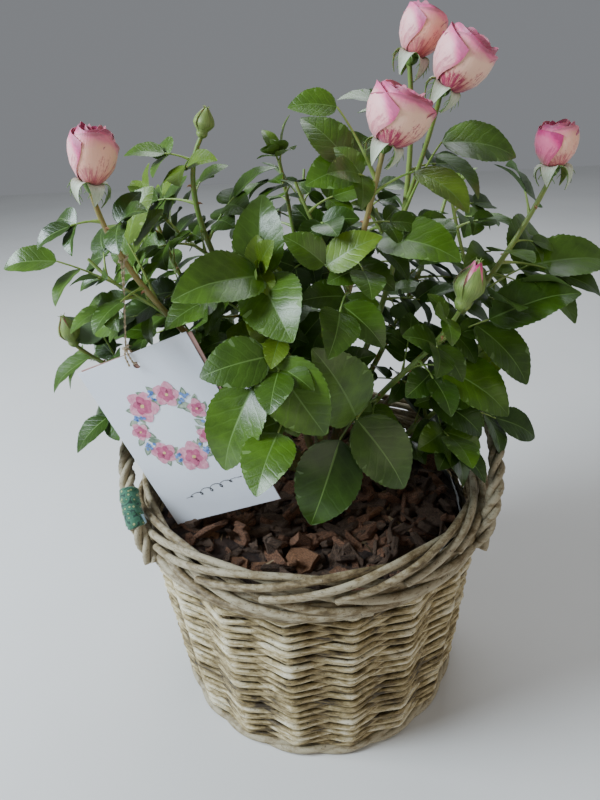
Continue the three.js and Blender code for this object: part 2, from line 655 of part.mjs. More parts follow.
function twigCurve(curve, share, bearing, length) {
  const from = curve.getPoint(share);
  const along = curve.getTangent(share);
  const [first, second] = acrossStem(along);
  const way = first.multiplyScalar(Math.cos(bearing)).addScaledVector(second, Math.sin(bearing))
    .addScaledVector(along, 0.7).normalize();
  const climb = (reach, rise) =>
    from.clone().addScaledVector(way, reach * length).add(new THREE.Vector3(0, 0, rise * length));
  return new THREE.CubicBezierCurve3(from, climb(0.35, 0), climb(0.7, 0.1), climb(0.95, 0.3));
}

// Everything that a shoot's rule draws, in a fixed order: its stem, its twigs, then its leaves
function shootPlan(name) {
  const { stem, leaves, size, twigs, seed } = SHOOTS[name];
  const roll = dice(seed);
  const curve = stemCurve(stem);
  const phase = 2 * Math.PI * roll();
  const axes = [{ curve, count: leaves, size, phase, twig: false }];
  for (let i = 0; i < twigs; i++) {
    const share = 0.22 + (0.5 * (i + 0.5)) / twigs;
    const bearing = phase + 1 + i * GOLDEN_ANGLE * 2;
    const length = TWIG_LENGTH * (0.8 + 0.4 * roll());
    axes.push({ curve: twigCurve(curve, share, bearing, length), count: TWIG_LEAVES,
      size: size * 0.85, phase: bearing + 2, twig: true });
  }
  for (const axis of axes)
    axis.leaves = Array.from({ length: axis.count }, (_, i) => {
      const share = 0.14 + (0.8 * (i + 0.5)) / axis.count;
      const leafSize = axis.size * (1 - 0.3 * share) * (0.88 + 0.24 * roll());
      const bearing = axis.phase + i * GOLDEN_ANGLE + 0.5 * (roll() - 0.5);
      const pairs = axis.twig || share > 0.7 ? 1 : 2;
      return ruledLeaf(axis.curve, share, bearing, leafSize, pairs, roll() - 0.5);
    });
  return axes;
}

// Flowers

// Five sepals, turned back below the petals
function sepals(base) {
  const [rootReach, fall] = [2.4, 2.1];
  return Array.from({ length: SEPALS }, (_, i) => {
    const bearing = (2 * Math.PI * i) / SEPALS + 0.4;
    const out = new THREE.Vector3(Math.cos(bearing), Math.sin(bearing), 0);
    const start = out.clone().multiplyScalar(rootReach).setZ(base);
    const end = out.clone().multiplyScalar(rootReach + SEPAL_LENGTH * Math.sin(fall))
      .setZ(base + SEPAL_LENGTH * Math.cos(fall));
    return leaflet(start, end, new THREE.Vector3(0, 0, 1));
  });
}

// An opening rose: an egg of wrapped petals over a green hip
function bloom({ width, height, open }) {
  const half = width / 2;
  const mouth = half * (0.55 + 0.35 * open);
  const hip = HIP_HEIGHT;
  const body = height - hip;
  const petals = turned([
    [0, hip - 1.5], [half * 0.42, hip], [half * 0.9, hip + body * 0.3], [half, hip + body * 0.52],
    [half * 0.95, hip + body * 0.78], [mouth, hip + body * 0.95], [mouth * 0.72, hip + body * 0.86],
    [mouth * 0.45, hip + body * 0.98], [0, hip + body * 0.9],
  ], 2 * PETAL_LOBES, (point) => {
    const bearing = Math.atan2(point.y, point.x);
    const rise = (point.z - hip) / body;
    const lobe = 1 + 0.08 * rise * Math.cos(PETAL_LOBES * bearing + 3 * rise);
    return point.set(point.x * lobe, point.y * lobe, point.z);
  });
  const green = turned([
    [0, 0], [FLOWER_FOOT_RADIUS, 0], [4.2, hip * 0.5], [3.6, hip + 1], [0, hip + 1],
  ], 7);
  return sepals(hip - 1.5).reduce((sum, sepal) => sum.add(sepal), petals.add(green));
}

// A closed bud: a pointed egg, wrapped by sepals that stand up along it
function bud({ width, height }) {
  const half = width / 2;
  return turned([
    [0, 0], [FLOWER_FOOT_RADIUS - 0.1, 0], [half * 0.55, height * 0.14], [half * 0.5, height * 0.24],
    [half, height * 0.46], [half * 0.82, height * 0.68], [half * 0.3, height * 0.9], [0, height],
  ], 8);
}

// A flower with its foot sunk in the tip of its stem
function flower(spec, tip) {
  const axis = at(spec.axis).normalize();
  const turn = new THREE.Quaternion().setFromUnitVectors(new THREE.Vector3(0, 0, 1), axis);
  const frame = new THREE.Matrix4().makeRotationFromQuaternion(turn)
    .setPosition(tip.clone().addScaledVector(axis, -FLOWER_SINK));
  return (spec.open ? bloom(spec) : bud(spec)).transform(frame.elements);
}

// Growing: each piece is kept only where it is clear of all that stands already

const solids = new Map();
const colours = new Map();

function keep(name, solid, colour) {
  solids.set(name, solid);
  colours.set(name, COLOURS[colour]);
}

function apart(a, b) {
  const [boxA, boxB] = [a.boundingBox(), b.boundingBox()];
  return [0, 1, 2].some((axis) => boxA.max[axis] < boxB.min[axis] || boxB.max[axis] < boxA.min[axis]);
}

const meets = (a, b) => !apart(a, b) && !a.intersect(b).isEmpty();
const sharesSpace = (a, b, most) => !apart(a, b) && a.intersect(b).volume() > most;
const clearOf = (solid, others) => others.every((other) => !meets(solid, other));

function standing(except) {
  return [...solids].filter(([name]) => name !== except).map(([, solid]) => solid);
}

function growLeaf(name, { stalk, tip, facing, leaflets }, keepOut) {
  const others = [...standing(name), ...keepOut];
  const before = solids.get(name);
  const end = stalkedLeaflet(stalk, tip, facing);
  const endBlade = leaflet(stalk.getPoint(1), tip, facing);
  if (sharesSpace(endBlade, before, OWN_OVERLAP)) return;
  if (!clearOf(stalkedLeaflet(stalk, tip, facing, SEAT), others)) return;
  const kept = [endBlade];
  for (const [base, point] of leaflets) {
    if (!clearOf(leaflet(base, point, facing, SEAT), others)) continue;
    const blade = leaflet(base, point, facing);
    if (kept.some((other) => sharesSpace(blade, other, SIBLING_OVERLAP))) continue;
    if (!sharesSpace(blade, before, OWN_OVERLAP)) kept.push(blade);
  }
  const whole = kept.slice(1).reduce((sum, blade) => sum.add(blade), end);
  solids.set(name, biggest(before.add(whole)));
}

function growRose() {
  keep("crown", crownKnob(), "crown");
  const plans = new Map();
  for (const name of Object.keys(SHOOTS)) {
    keep("cane_" + name, limb(caneCurve(SHOOTS[name]), CANE_RADII, 6, 4), "cane");
    plans.set(name, shootPlan(name));
    keep("shoot_" + name, limb(plans.get(name)[0].curve, STEM_RADII, 5, 6), "leaf");
  }
  keep("tag_twine", tagTwine(stemCurve(SHOOTS.bloom_left.stem)), "twine");
  for (const [name, spec] of Object.entries(FLOWERS)) {
    const twig = FLOWER_TWIGS[name];
    const shoot = twig ? twig.shoot : name;
    const stem = plans.get(shoot)[0].curve;
    const joined = [solids.get("shoot_" + shoot), flower(spec, twig ? at(twig.tip) : stem.getPoint(1))];
    if (twig) {
      const curve = new THREE.QuadraticBezierCurve3(stem.getPoint(twig.at), at(twig.bend), at(twig.tip));
      joined.push(limb(curve, FLOWER_TWIG_RADII, 5, 4));
    }
    solids.set("shoot_" + shoot, joined.reduce((sum, piece) => sum.add(piece)));
  }
  return plans;
}

function fingerGap(middle) {
  const { depth, width, low, high } = FINGER_GAP;
  return solidOf(new THREE.BoxGeometry(depth, width, high - low)
    .translate(middle * HANDLE_TOP_REACH, 0, (low + high) / 2));
}

function growFoliage(plans) {
  const keepOut = [fingerGap(1), fingerGap(-1)];
  for (const [name, axes] of plans)
    for (const axis of axes.filter((each) => each.twig)) {
      const node = "shoot_" + name;
      axis.kept = clearOf(limb(axis.curve, TWIG_RADII, 4, 3, SEAT), [...standing(node), ...keepOut]);
      if (axis.kept) solids.set(node, solids.get(node).add(limb(axis.curve, TWIG_RADII, 4, 3)));
    }
  for (const [name, share, elbow, tip, pairs] of KEY_LEAVES) {
    const from = plans.get(name)[0].curve.getPoint(share);
    growLeaf("shoot_" + name, leafParts(from, at(elbow), at(tip), pairs, 0), keepOut);
  }
  for (const [name, axes] of plans)
    for (const axis of axes)
      if (!axis.twig || axis.kept)
        for (const leaf of axis.leaves) growLeaf("shoot_" + name, leaf, keepOut);
}

keep("basket_wall", basketWall(), "willow");
keep("basket_border", basketBorder(), "willow");
keep("handle_right", handle(0), "willow");
keep("handle_left", handle(Math.PI), "willow");
keep("handle_wrap", handleWrap(), "wrap");
keep("liner", liner(), "liner");
keep("compost", compost(), "compost");
const frontPanel = cardPanel({ turn: 0, aside: 0 }, 0);
const backPanel = cardPanel(BACK_PANEL, CARD_THICKNESS + SEAT);
keep("tag_front", frontPanel, "card");
keep("tag_back", backPanel, "card_back");
keep("bark_mulch", barkMulch(frontPanel.add(backPanel)), "bark");
growFoliage(growRose());

const rose = new THREE.Group();
for (const [name, solid] of solids) {
  const material = new THREE.MeshStandardMaterial({
    color: colours.get(name), roughness: 0.7, metalness: 0,
  });
  const mesh = new THREE.Mesh(geometryOf(solid), material);
  mesh.name = name;
  rose.add(mesh);
}

export default rose;
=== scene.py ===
# %% [markdown]
# # A patio rose in a woven willow basket
# This lesson dresses a potted rose bush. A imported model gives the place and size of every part: the
# basket, its filling, the canes and one plain solid for each leafy shoot. Here each of them gets the
# surface that the real thing has, in metres, in the model's own frame: +Z up, -Y to the front.

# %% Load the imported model
from math import cos, hypot, pi, radians, sin, sqrt

import bmesh
import bpy
import numpy as np
from mathutils import Matrix, Quaternion, Vector, noise
from mathutils.bvhtree import BVHTree


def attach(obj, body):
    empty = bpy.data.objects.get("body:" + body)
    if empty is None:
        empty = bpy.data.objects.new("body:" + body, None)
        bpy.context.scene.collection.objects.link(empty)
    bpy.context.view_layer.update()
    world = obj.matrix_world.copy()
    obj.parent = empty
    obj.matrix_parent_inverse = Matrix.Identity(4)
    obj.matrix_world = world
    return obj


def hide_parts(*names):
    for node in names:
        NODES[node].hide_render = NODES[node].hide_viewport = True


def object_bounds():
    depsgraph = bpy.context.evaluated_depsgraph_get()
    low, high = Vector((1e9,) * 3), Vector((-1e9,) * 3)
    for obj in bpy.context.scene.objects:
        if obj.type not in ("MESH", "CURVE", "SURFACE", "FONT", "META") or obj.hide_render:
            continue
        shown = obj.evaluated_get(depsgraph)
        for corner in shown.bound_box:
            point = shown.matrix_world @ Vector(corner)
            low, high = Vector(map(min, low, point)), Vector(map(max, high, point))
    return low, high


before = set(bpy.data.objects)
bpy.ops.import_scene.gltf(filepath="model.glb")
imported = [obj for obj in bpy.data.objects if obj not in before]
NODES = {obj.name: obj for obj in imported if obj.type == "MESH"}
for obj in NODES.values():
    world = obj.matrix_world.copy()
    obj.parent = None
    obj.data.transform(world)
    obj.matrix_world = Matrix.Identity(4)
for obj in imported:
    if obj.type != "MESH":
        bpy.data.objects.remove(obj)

MM = 0.001
CAD_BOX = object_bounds()
print("nodes in the model:", len(NODES))

# %% [markdown]
# The camera stands where the photographer stood: level with the highest flowers, looking down by 28
# degrees. Its lens follows from the size of the basket's rim in a frame of 600 by 800 points. The
# light is that of a plain studio: one large soft window to the left, a weaker light from behind and a
# warm fill on the right.

# %% Camera, light and floor
FRAME_HEIGHT = 800
FOCAL_IN_POINTS = 607
CAMERA_PLACE = (0, -0.427, 0.490)
CAMERA_DOWN = 28
CAMERA_TURN = -0.015
CAMERA_ROLL = 0.053


def put(name, data):
    """A new object with this data, in the scene."""
    made = bpy.data.objects.new(name, data)
    bpy.context.collection.objects.link(made)
    return made


lens = bpy.data.cameras.new("camera")
lens.sensor_width = 36
lens.lens = lens.sensor_width * FOCAL_IN_POINTS / FRAME_HEIGHT
lens.clip_start = 0.01
camera = put("camera", lens)
camera.location = CAMERA_PLACE
camera.rotation_mode = "QUATERNION"
camera.rotation_quaternion = (
    Quaternion((0, 0, 1), -CAMERA_TURN)
    @ Quaternion((1, 0, 0), radians(90 - CAMERA_DOWN))
    @ Quaternion((0, 0, 1), -CAMERA_ROLL)
)
bpy.context.scene.camera = camera


def soft_light(name, place, aim, size, power, colour):
    data = bpy.data.lights.new(name, "AREA")
    data.shape = "DISK"
    data.size, data.energy, data.color = size, power, colour
    light = put(name, data)
    light.location = place
    light.rotation_euler = (Vector(aim) - Vector(place)).to_track_quat("-Z", "Y").to_euler()


PLANT_MIDDLE = (0, 0, 0.25)
soft_light("window", (-1.5, -0.35, 1.35), PLANT_MIDDLE, 0.9, 72, (0.79, 0.9, 1))
soft_light("sky", (0.1, 1.2, 1.6), PLANT_MIDDLE, 1.3, 16, (0.9, 0.95, 1))
soft_light("fill", (1.3, -1.5, 0.9), PLANT_MIDDLE, 1.8, 10, (1, 0.9, 0.76))

world = bpy.data.worlds.new("studio")
bpy.context.scene.world = world
world.use_nodes = True
backdrop = world.node_tree.nodes["Background"].inputs
backdrop["Color"].default_value = (0.72, 0.75, 0.8, 1)
backdrop["Strength"].default_value = 0.3

# %% [markdown]
# A node tree is only a list of nodes and of wires between them. One small helper makes a node and
# fills its inputs: a plain value is set on the socket, and another node's output is wired to it. A
# node given as a value stands for its first output.

# %% A helper for node trees
def add(tree, kind, inputs=None, **settings):
    node = tree.nodes.new(kind)
    for key, value in settings.items():
        setattr(node, key, value)
    for key, value in (inputs or {}).items():
        if isinstance(value, bpy.types.Node):
            value = value.outputs[0]
        if isinstance(value, bpy.types.NodeSocket):
            tree.links.new(value, node.inputs[key])
        else:
            node.inputs[key].default_value = value
    return node


def maths(tree, operation, *values):
    return add(tree, "ShaderNodeMath", dict(enumerate(values)), operation=operation)


def times(tree, *values):
    return maths(tree, "MULTIPLY", *values)


def plus(tree, *values):
    return maths(tree, "ADD", *values)


def minus(tree, *values):
    return maths(tree, "SUBTRACT", *values)


# %% [markdown]
# Every finish is a Principled surface. Its base colour is mostly wired to a pattern, and its
# roughness, sheen and coat are plain numbers on the sockets, which survive an export to other
# programs. Many finishes need no more than one grain that runs from a dark to a light colour.

# %% Helpers for finishes
def rgba(colour):
    return (*colour, 1)


def finish(name, roughness, **plain):
    made = bpy.data.materials.new(name)
    made.use_nodes = True
    surface = made.node_tree.nodes["Principled BSDF"]
    surface.inputs["Roughness"].default_value = roughness
    for socket, value in plain.items():
        surface.inputs[socket.replace("_", " ")].default_value = value
    return made, made.node_tree, surface


def ramp(tree, factor, *stops):
    node = add(tree, "ShaderNodeValToRGB", {0: factor})
    elements = node.color_ramp.elements
    while len(elements) < len(stops):
        elements.new(0.5)
    for element, (position, colour) in zip(elements, stops):
        element.position = position
        element.color = rgba(colour)
    return node.outputs["Color"]


def mixed(tree, share, under, over):
    """The colour under, with this share of one plain colour over it."""
    return add(tree, "ShaderNodeMix", {0: share, 6: under, 7: rgba(over)}, data_type="RGBA").outputs[2]


def base_colour(tree, surface, colour):
    tree.links.new(colour, surface.inputs["Base Color"])


def bump(tree, surface, height, strength, distance):
    node = add(tree, "ShaderNodeBump", {"Height": height, "Strength": strength, "Distance": distance})
    tree.links.new(node.outputs["Normal"], surface.inputs["Normal"])


def grain(tree, scale, stretch=(1, 1, 1), detail=4, rough=0.55, coordinate="Object"):
    """Noise on the piece's own coordinates, stretched along its grain."""
    place = add(tree, "ShaderNodeTexCoord").outputs[coordinate]
    turned = add(tree, "ShaderNodeMapping", {"Vector": place, "Scale": stretch})
    sockets = {"Vector": turned, "Scale": scale, "Detail": detail, "Roughness": rough}
    return add(tree, "ShaderNodeTexNoise", sockets).outputs["Fac"]


def mottled(name, roughness, spots, dark, light, relief=None, finer=None, **plain):
    """A finish along one grain, with its relief (strength, depth) from that or from a finer grain."""
    made, tree, surface = finish(name, roughness, **plain)
    pattern = grain(tree, **spots)
    base_colour(tree, surface, ramp(tree, pattern, dark, light))
    if relief:
        bump(tree, surface, grain(tree, **finer) if finer else pattern, *relief)
    return made


bpy.ops.mesh.primitive_plane_add(size=6)
floor = bpy.context.object
floor.name = "floor"
floor.data.materials.append(
    mottled("floor", 0.8, dict(scale=3), (0.3, (0.66, 0.65, 0.63)), (0.7, (0.7, 0.69, 0.67))))

# %% [markdown]
# Geometry Nodes make whatever repeats or follows a path: the weave, the rods of the border, the bark
# chips and the leaves. Each tree has named sizes. A modifier runs it once on a carrier mesh, and the
# result is kept as a plain mesh.

# %% Helpers for pieces and Geometry Nodes
def mesh_of(name, points, edges=(), faces=(), smooth=False, **numbers):
    """A mesh from points; each further keyword is a number or a turn that the points carry."""
    mesh = bpy.data.meshes.new(name)
    mesh.from_pydata([tuple(point) for point in points], list(edges), list(faces))
    for key, values in numbers.items():
        flat = np.asarray(values, dtype=np.float32)
        kind = "FLOAT" if flat.ndim == 1 else "QUATERNION"
        mesh.attributes.new(key, kind, "POINT").data.foreach_set("value", flat.ravel())
    if smooth:
        mesh.shade_smooth()
    return mesh


def piece(name, mesh, slot, *materials, replaces=()):
    made = put(name, mesh)
    for material in materials:
        mesh.materials.append(material)
    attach(made, "root")
    if replaces:
        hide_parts(*replaces)


def new_tree(name, **sizes):
    """An empty tree with a geometry going in and out, and a named number for each size."""
    tree = bpy.data.node_groups.new(name, "GeometryNodeTree")
    kinds = {float: "NodeSocketFloat", int: "NodeSocketInt"}
    tree.interface.new_socket("Geometry", in_out="INPUT", socket_type="NodeSocketGeometry")
    for label, value in sizes.items():
        tree.interface.new_socket(label, in_out="INPUT", socket_type=kinds[type(value)])
    tree.interface.new_socket("Geometry", in_out="OUTPUT", socket_type="NodeSocketGeometry")
    return tree, tree.nodes.new("NodeGroupInput").outputs


def number_of(tree, name, kind="FLOAT"):
    """A number or a turn that the points carry."""
    return add(tree, "GeometryNodeInputNamedAttribute", {"Name": name}, data_type=kind)


def carrying(tree, geometry, name, value):
    """The geometry, whose points now carry this number."""
    sockets = {"Geometry": geometry, "Name": name, "Value": value}
    return add(tree, "GeometryNodeStoreNamedAttribute", sockets, data_type="FLOAT", domain="POINT")


def circle(tree, sides, radius=1.0):
    sockets = {"Resolution": sides, "Radius": radius}
    return add(tree, "GeometryNodeCurvePrimitiveCircle", sockets)


def end_tree(tree, geometry, *materials):
    """Make the instances real, deal out the materials by the number "part", and end the tree."""
    geometry = add(tree, "GeometryNodeRealizeInstances", {0: geometry})
    for index, material in enumerate(materials):
        sockets = {"Geometry": geometry, "Material": material}
        if index:
            sockets["Selection"] = add(tree, "FunctionNodeCompare", {
                0: number_of(tree, "part"), 1: index - 0.5}, operation="GREATER_THAN")
        geometry = add(tree, "GeometryNodeSetMaterial", sockets)
    add(tree, "NodeGroupOutput", {"Geometry": geometry})
    return tree


def evaluated(holder):
    """The plain mesh that an object's modifier or curve makes."""
    return bpy.data.meshes.new_from_object(holder.evaluated_get(bpy.context.evaluated_depsgraph_get()))


def grow(name, tree, carrier, **sizes):
    """Run a tree on a carrier mesh with these sizes, and return the plain mesh that it makes."""
    holder = put(name, carrier)
    modifier = holder.modifiers.new(tree.name, "NODES")
    modifier.node_group = tree
    for item in tree.interface.items_tree:
        if item.in_out == "INPUT" and item.name in sizes:
            modifier[item.identifier] = sizes[item.name]
    mesh = evaluated(holder)
    mesh.name = name
    holder.modifiers.remove(modifier)
    bpy.data.objects.remove(holder)
    print(f"{name}: {len(mesh.polygons)} faces")
    return mesh


# %% [markdown]
# Three more tools serve the whole plant. A dice with a fixed seed rolls the same numbers every time.
# A scatter sets one small shape on every point of a carrier that holds its turn and its size. The
# last one joins meshes.

# %% Dice and scatter
def dice(seed):
    state = seed

    def roll():
        nonlocal state
        state = (state * 1664525 + 1013904223) % 2 ** 32
        return state / 2 ** 32
    return roll


def scatter_tree(name, source, *materials):
    tree, given = new_tree(name)
    size = number_of(tree, "size")
    scale = add(tree, "ShaderNodeCombineXYZ", {i: size for i in range(3)})
    shape = add(tree, "GeometryNodeObjectInfo", {"Object": source}).outputs["Geometry"]
    spots = add(tree, "GeometryNodeMeshToPoints", {"Mesh": given["Geometry"]})
    placed = add(tree, "GeometryNodeInstanceOnPoints", {
        "Points": spots, "Instance": shape, "Rotation": number_of(tree, "turn", "QUATERNION"),
        "Scale": scale})
    return end_tree(tree, placed, *materials)


def scatter(name, shape, spots, *materials, parts=None):
    """The shape at every spot (place, turn, size) as one plain mesh; parts number its materials."""
    source = put(shape.name, shape)
    numbers = {"part": [float(part) for part in parts]} if parts else {}
    carrier = mesh_of(name, [spot[0] for spot in spots], turn=[tuple(spot[1]) for spot in spots],
                      size=[spot[2] for spot in spots], **numbers)
    made = grow(name, scatter_tree(name, source, *materials), carrier)
    bpy.data.objects.remove(source)
    return made


def joined(name, meshes):
    """One mesh of several, in which every face keeps its material."""
    paints = list(dict.fromkeys(paint for mesh in meshes for paint in mesh.materials if paint))
    together = bmesh.new()
    for mesh in meshes:
        slots = np.array([paints.index(paint) if paint else 0 for paint in mesh.materials])
        indices = np.empty(len(mesh.polygons), dtype=np.int32)
        mesh.polygons.foreach_get("material_index", indices)
        mesh.polygons.foreach_set("material_index", slots[indices])
        together.from_mesh(mesh)
    made = bpy.data.meshes.new(name)
    together.to_mesh(made)
    together.free()
    for paint in paints:
        made.materials.append(paint)
    return made

# %% [markdown]
# ## Willow
# The rods were washed with thin grey paint and rubbed, so each one shows pale paint on its back,
# brown wood where it was rubbed, and dark specks where side shoots were cut. A rod carries its own
# tone, and a weaver how far it lies behind the stakes, which the finish darkens as painted shade.
# The grain is stretched along the rod.

# %% Willow finish
def willow_finish(name, dark, middle, light, painted, stretch):
    made, tree, surface = finish(name, 0.62)
    tone, behind = (add(tree, "ShaderNodeAttribute", attribute_name=number).outputs["Fac"]
                    for number in ("tone", "behind"))
    fine = grain(tree, 300, stretch, detail=8, rough=0.74)
    broad = grain(tree, 26, detail=3)
    blend = maths(tree, "MULTIPLY_ADD", fine, 0.9, times(tree, broad, 0.15))
    blend = maths(tree, "MULTIPLY_ADD", tone, 0.18, blend)
    # Painted shade: a weaver is darker where it lies behind a stake, in the hollows of the weave.
    blend = maths(tree, "MULTIPLY_ADD", behind, -0.16, blend)
    colour = ramp(tree, blend, (0.4, dark), (0.5, middle), (0.59, light), (0.7, painted))
    specks = maths(tree, "GREATER_THAN", grain(tree, 620, detail=1), 0.69)
    share = times(tree, specks, 0.7)
    base_colour(tree, surface, mixed(tree, share, colour, (0.06, 0.04, 0.03)))
    bump(tree, surface, fine, 0.5, 0.0008)
    return made


weaver_willow = willow_finish("willow_weavers", (0.035, 0.022, 0.008), (0.2, 0.145, 0.058),
                              (0.44, 0.353, 0.178), (0.72, 0.66, 0.48), (0.22, 0.22, 1.6))
rod_willow = willow_finish("willow_rods", (0.032, 0.02, 0.008), (0.11, 0.076, 0.032),
                           (0.21, 0.158, 0.08), (0.38, 0.33, 0.22), (0.3, 0.3, 1.3))

# %% [markdown]
# The wall is plain weaving: one long rod a row, in front of one stake and behind the next, and the
# row above does the opposite. Dry rods bend in knees at the stakes and run straight between, so a row
# is a ring with one point for each stake, moved out or in by turns. Then its corners are rounded and
# it is cut into short steps, so that a slow noise can bend it and change its girth and its tone.

# %% The woven wall
STAKES = 18
WALL_HEIGHT = 0.173
WALL_FOOT_RADIUS = 0.126
WALL_TOP_RADIUS = 0.140
WALL_MIDDLE_INSET = 0.0058
WEAVE_SIZES = {"Rows": 40, "Height": WALL_HEIGHT, "Foot": WALL_FOOT_RADIUS, "Top": WALL_TOP_RADIUS,
               "Swing": 0.0049, "Thickness": 0.0022}
KNEE_RADIUS = 0.004
STEP_LENGTH = 0.0038
WANDER_SCALE = (22, 22, 171)
WANDER = (0.003, 0.003, 0.0042)

tree, given = new_tree("weave", **WEAVE_SIZES)
line = add(tree, "GeometryNodeMeshLine", {"Count": given["Rows"], "Offset": (0, 0, 0)})
row = add(tree, "GeometryNodeInputIndex")
numbered = carrying(tree, line, "row", row)
rings = add(tree, "GeometryNodeInstanceOnPoints", {"Points": numbered, "Instance": circle(tree, STAKES)})
loose = add(tree, "GeometryNodeRealizeInstances", {0: rings})
row = number_of(tree, "row")
spot = add(tree, "ShaderNodeSeparateXYZ", {0: add(tree, "GeometryNodeInputPosition")})
bearing = maths(tree, "ARCTAN2", spot.outputs[1], spot.outputs[0])
count = plus(tree, row, 1.0)
share = maths(tree, "DIVIDE", count, plus(tree, given["Rows"], 1.0))
phase = times(tree, count, pi)
wave = maths(tree, "COSINE", plus(tree, times(tree, bearing, STAKES / 2), phase))
calm = add(tree, "ShaderNodeMapRange", {"Value": share, 1: 0.0, 2: 0.1, 3: 0.5, 4: 1.0})
swing = times(tree, times(tree, wave, calm), given["Swing"])
flare = times(tree, minus(tree, given["Top"], given["Foot"]), share)
radius = plus(tree, plus(tree, given["Foot"], flare), -WALL_MIDDLE_INSET)
radius = plus(tree, radius, swing)
place = add(tree, "ShaderNodeCombineXYZ", {0: times(tree, radius, maths(tree, "COSINE", bearing)),
                                           1: times(tree, radius, maths(tree, "SINE", bearing)),
                                           2: times(tree, share, given["Height"])})
woven = add(tree, "GeometryNodeSetPosition", {"Geometry": loose, "Position": place})
# Each point carries how far it lies behind the stakes, which the finish turns into painted shade.
marked = carrying(tree, woven, "behind", maths(tree, "MULTIPLY_ADD", wave, -0.5, 0.5))
knees = add(tree, "GeometryNodeFilletCurve",
            {"Curve": marked, "Radius": KNEE_RADIUS, "Limit Radius": True}, mode="BEZIER")
steps = add(tree, "GeometryNodeResampleCurve", {"Curve": knees, "Length": STEP_LENGTH},
            mode="LENGTH")
place = add(tree, "GeometryNodeInputPosition")
place = add(tree, "ShaderNodeVectorMath", {0: place, 1: WANDER_SCALE}, operation="MULTIPLY")
wobble = add(tree, "ShaderNodeTexNoise", {"Vector": place, "Scale": 1.0, "Detail": 1.0}).outputs
bend = add(tree, "ShaderNodeVectorMath", {0: wobble["Color"], 1: (0.5, 0.5, 0.5)}, operation="SUBTRACT")
bend = add(tree, "ShaderNodeVectorMath", {0: bend, 1: WANDER}, operation="MULTIPLY")
bent = add(tree, "GeometryNodeSetPosition", {"Geometry": steps, "Offset": bend})
wobble = minus(tree, wobble["Fac"], 0.5)
tone = add(tree, "FunctionNodeRandomValue", {2: 0.0, 3: 1.0, "ID": row, "Seed": 4}, data_type="FLOAT")
tone = times(tree, tone.outputs[1], 0.8)
tone = plus(tree, tone, times(tree, wobble, 1.2))
toned = carrying(tree, bent, "tone", tone)
girth = plus(tree, 1.0, times(tree, wobble, 0.7))
thick = add(tree, "GeometryNodeSetCurveRadius", {
    "Curve": toned, "Radius": times(tree, given["Thickness"], girth)})
rods = add(tree, "GeometryNodeCurveToMesh", {
    "Curve": thick, "Profile Curve": circle(tree, 7),
    "Scale": add(tree, "GeometryNodeInputRadius")})
smooth = add(tree, "GeometryNodeSetShadeSmooth", {0: rods})
end_tree(tree, smooth, weaver_willow)

weave = grow("weave", tree, bpy.data.meshes.new("empty"), **WEAVE_SIZES)
piece("basket_weave", weave, "willow", replaces=["basket_wall"])

# %% [markdown]
# Rods that follow a path all come from one more tree. Its carrier is a mesh of edges whose points
# carry a thickness, a tone and a "part". The edges become curves, and a ring is swept along them.

# %% A tree that sweeps rods along paths
RELIEF_SCALE = 420.0


def sweep_tree(name, *materials, sides=8, relief=0.0):
    tree, given = new_tree(name)
    curves = add(tree, "GeometryNodeMeshToCurve", {0: given["Geometry"]})
    curves = add(tree, "GeometryNodeSetCurveRadius",
                 {"Curve": curves, "Radius": number_of(tree, "thickness")})
    made = add(tree, "GeometryNodeCurveToMesh", {
        "Curve": curves, "Profile Curve": circle(tree, sides), "Fill Caps": True,
        "Scale": add(tree, "GeometryNodeInputRadius")})
    if relief:
        rough = add(tree, "ShaderNodeTexNoise", {
            "Vector": add(tree, "GeometryNodeInputPosition"), "Scale": RELIEF_SCALE,
            "Detail": 3.0}).outputs["Fac"]
        lift = times(tree, minus(tree, rough, 0.5), relief)
        offset = add(tree, "ShaderNodeVectorMath", {
            0: add(tree, "GeometryNodeInputNormal"), "Scale": lift}, operation="SCALE")
        made = add(tree, "GeometryNodeSetPosition", {"Geometry": made, "Offset": offset})
    smooth = add(tree, "GeometryNodeSetShadeSmooth", {0: made})
    return end_tree(tree, smooth, *materials)


class Paths:
    """Many polylines in one mesh of edges, with numbers on their points."""

    def __init__(self):
        self.points, self.edges, self.thickness, self.tone, self.part = [], [], [], [], []

    def run(self, points, thickness, tone=0.0, part=0.0):
        first = len(self.points)
        count = len(points)
        self.points += [Vector(point) for point in points]
        self.edges += [(first + i, first + i + 1) for i in range(count - 1)]
        self.thickness += list(thickness) if hasattr(thickness, "__len__") else [thickness] * count
        self.tone += [tone] * count
        self.part += [part] * count

    def sweep(self, name, tree):
        carrier = mesh_of(name, self.points, self.edges, thickness=self.thickness, tone=self.tone,
                          part=self.part)
        return grow(name, tree, carrier)


rod_sweep = sweep_tree("swept rods", rod_willow, sides=9)

# %% [markdown]
# Eighteen stakes stand in the wall, and the weave hides all but a glimpse of them. The foot of the
# basket is a flat woven disc: rings of finer rods that wave up and down by turns, inside a rim of two
# rods twisted round each other.

# %% Stakes and foot
def on_ring(bearing, radius, height):
    return Vector((radius * cos(bearing), radius * sin(bearing), height))


def wavy_ring(steps, radius, height, swing, rise, phase):
    """A closed ring that swings out and in, and up and down, once for every two stakes."""
    path = []
    for j in range(steps + 1):
        bearing = 2 * pi * j / steps
        turn = STAKES / 2 * bearing + phase
        path.append(on_ring(bearing, radius + swing * sin(turn), height + rise * cos(turn)))
    return path


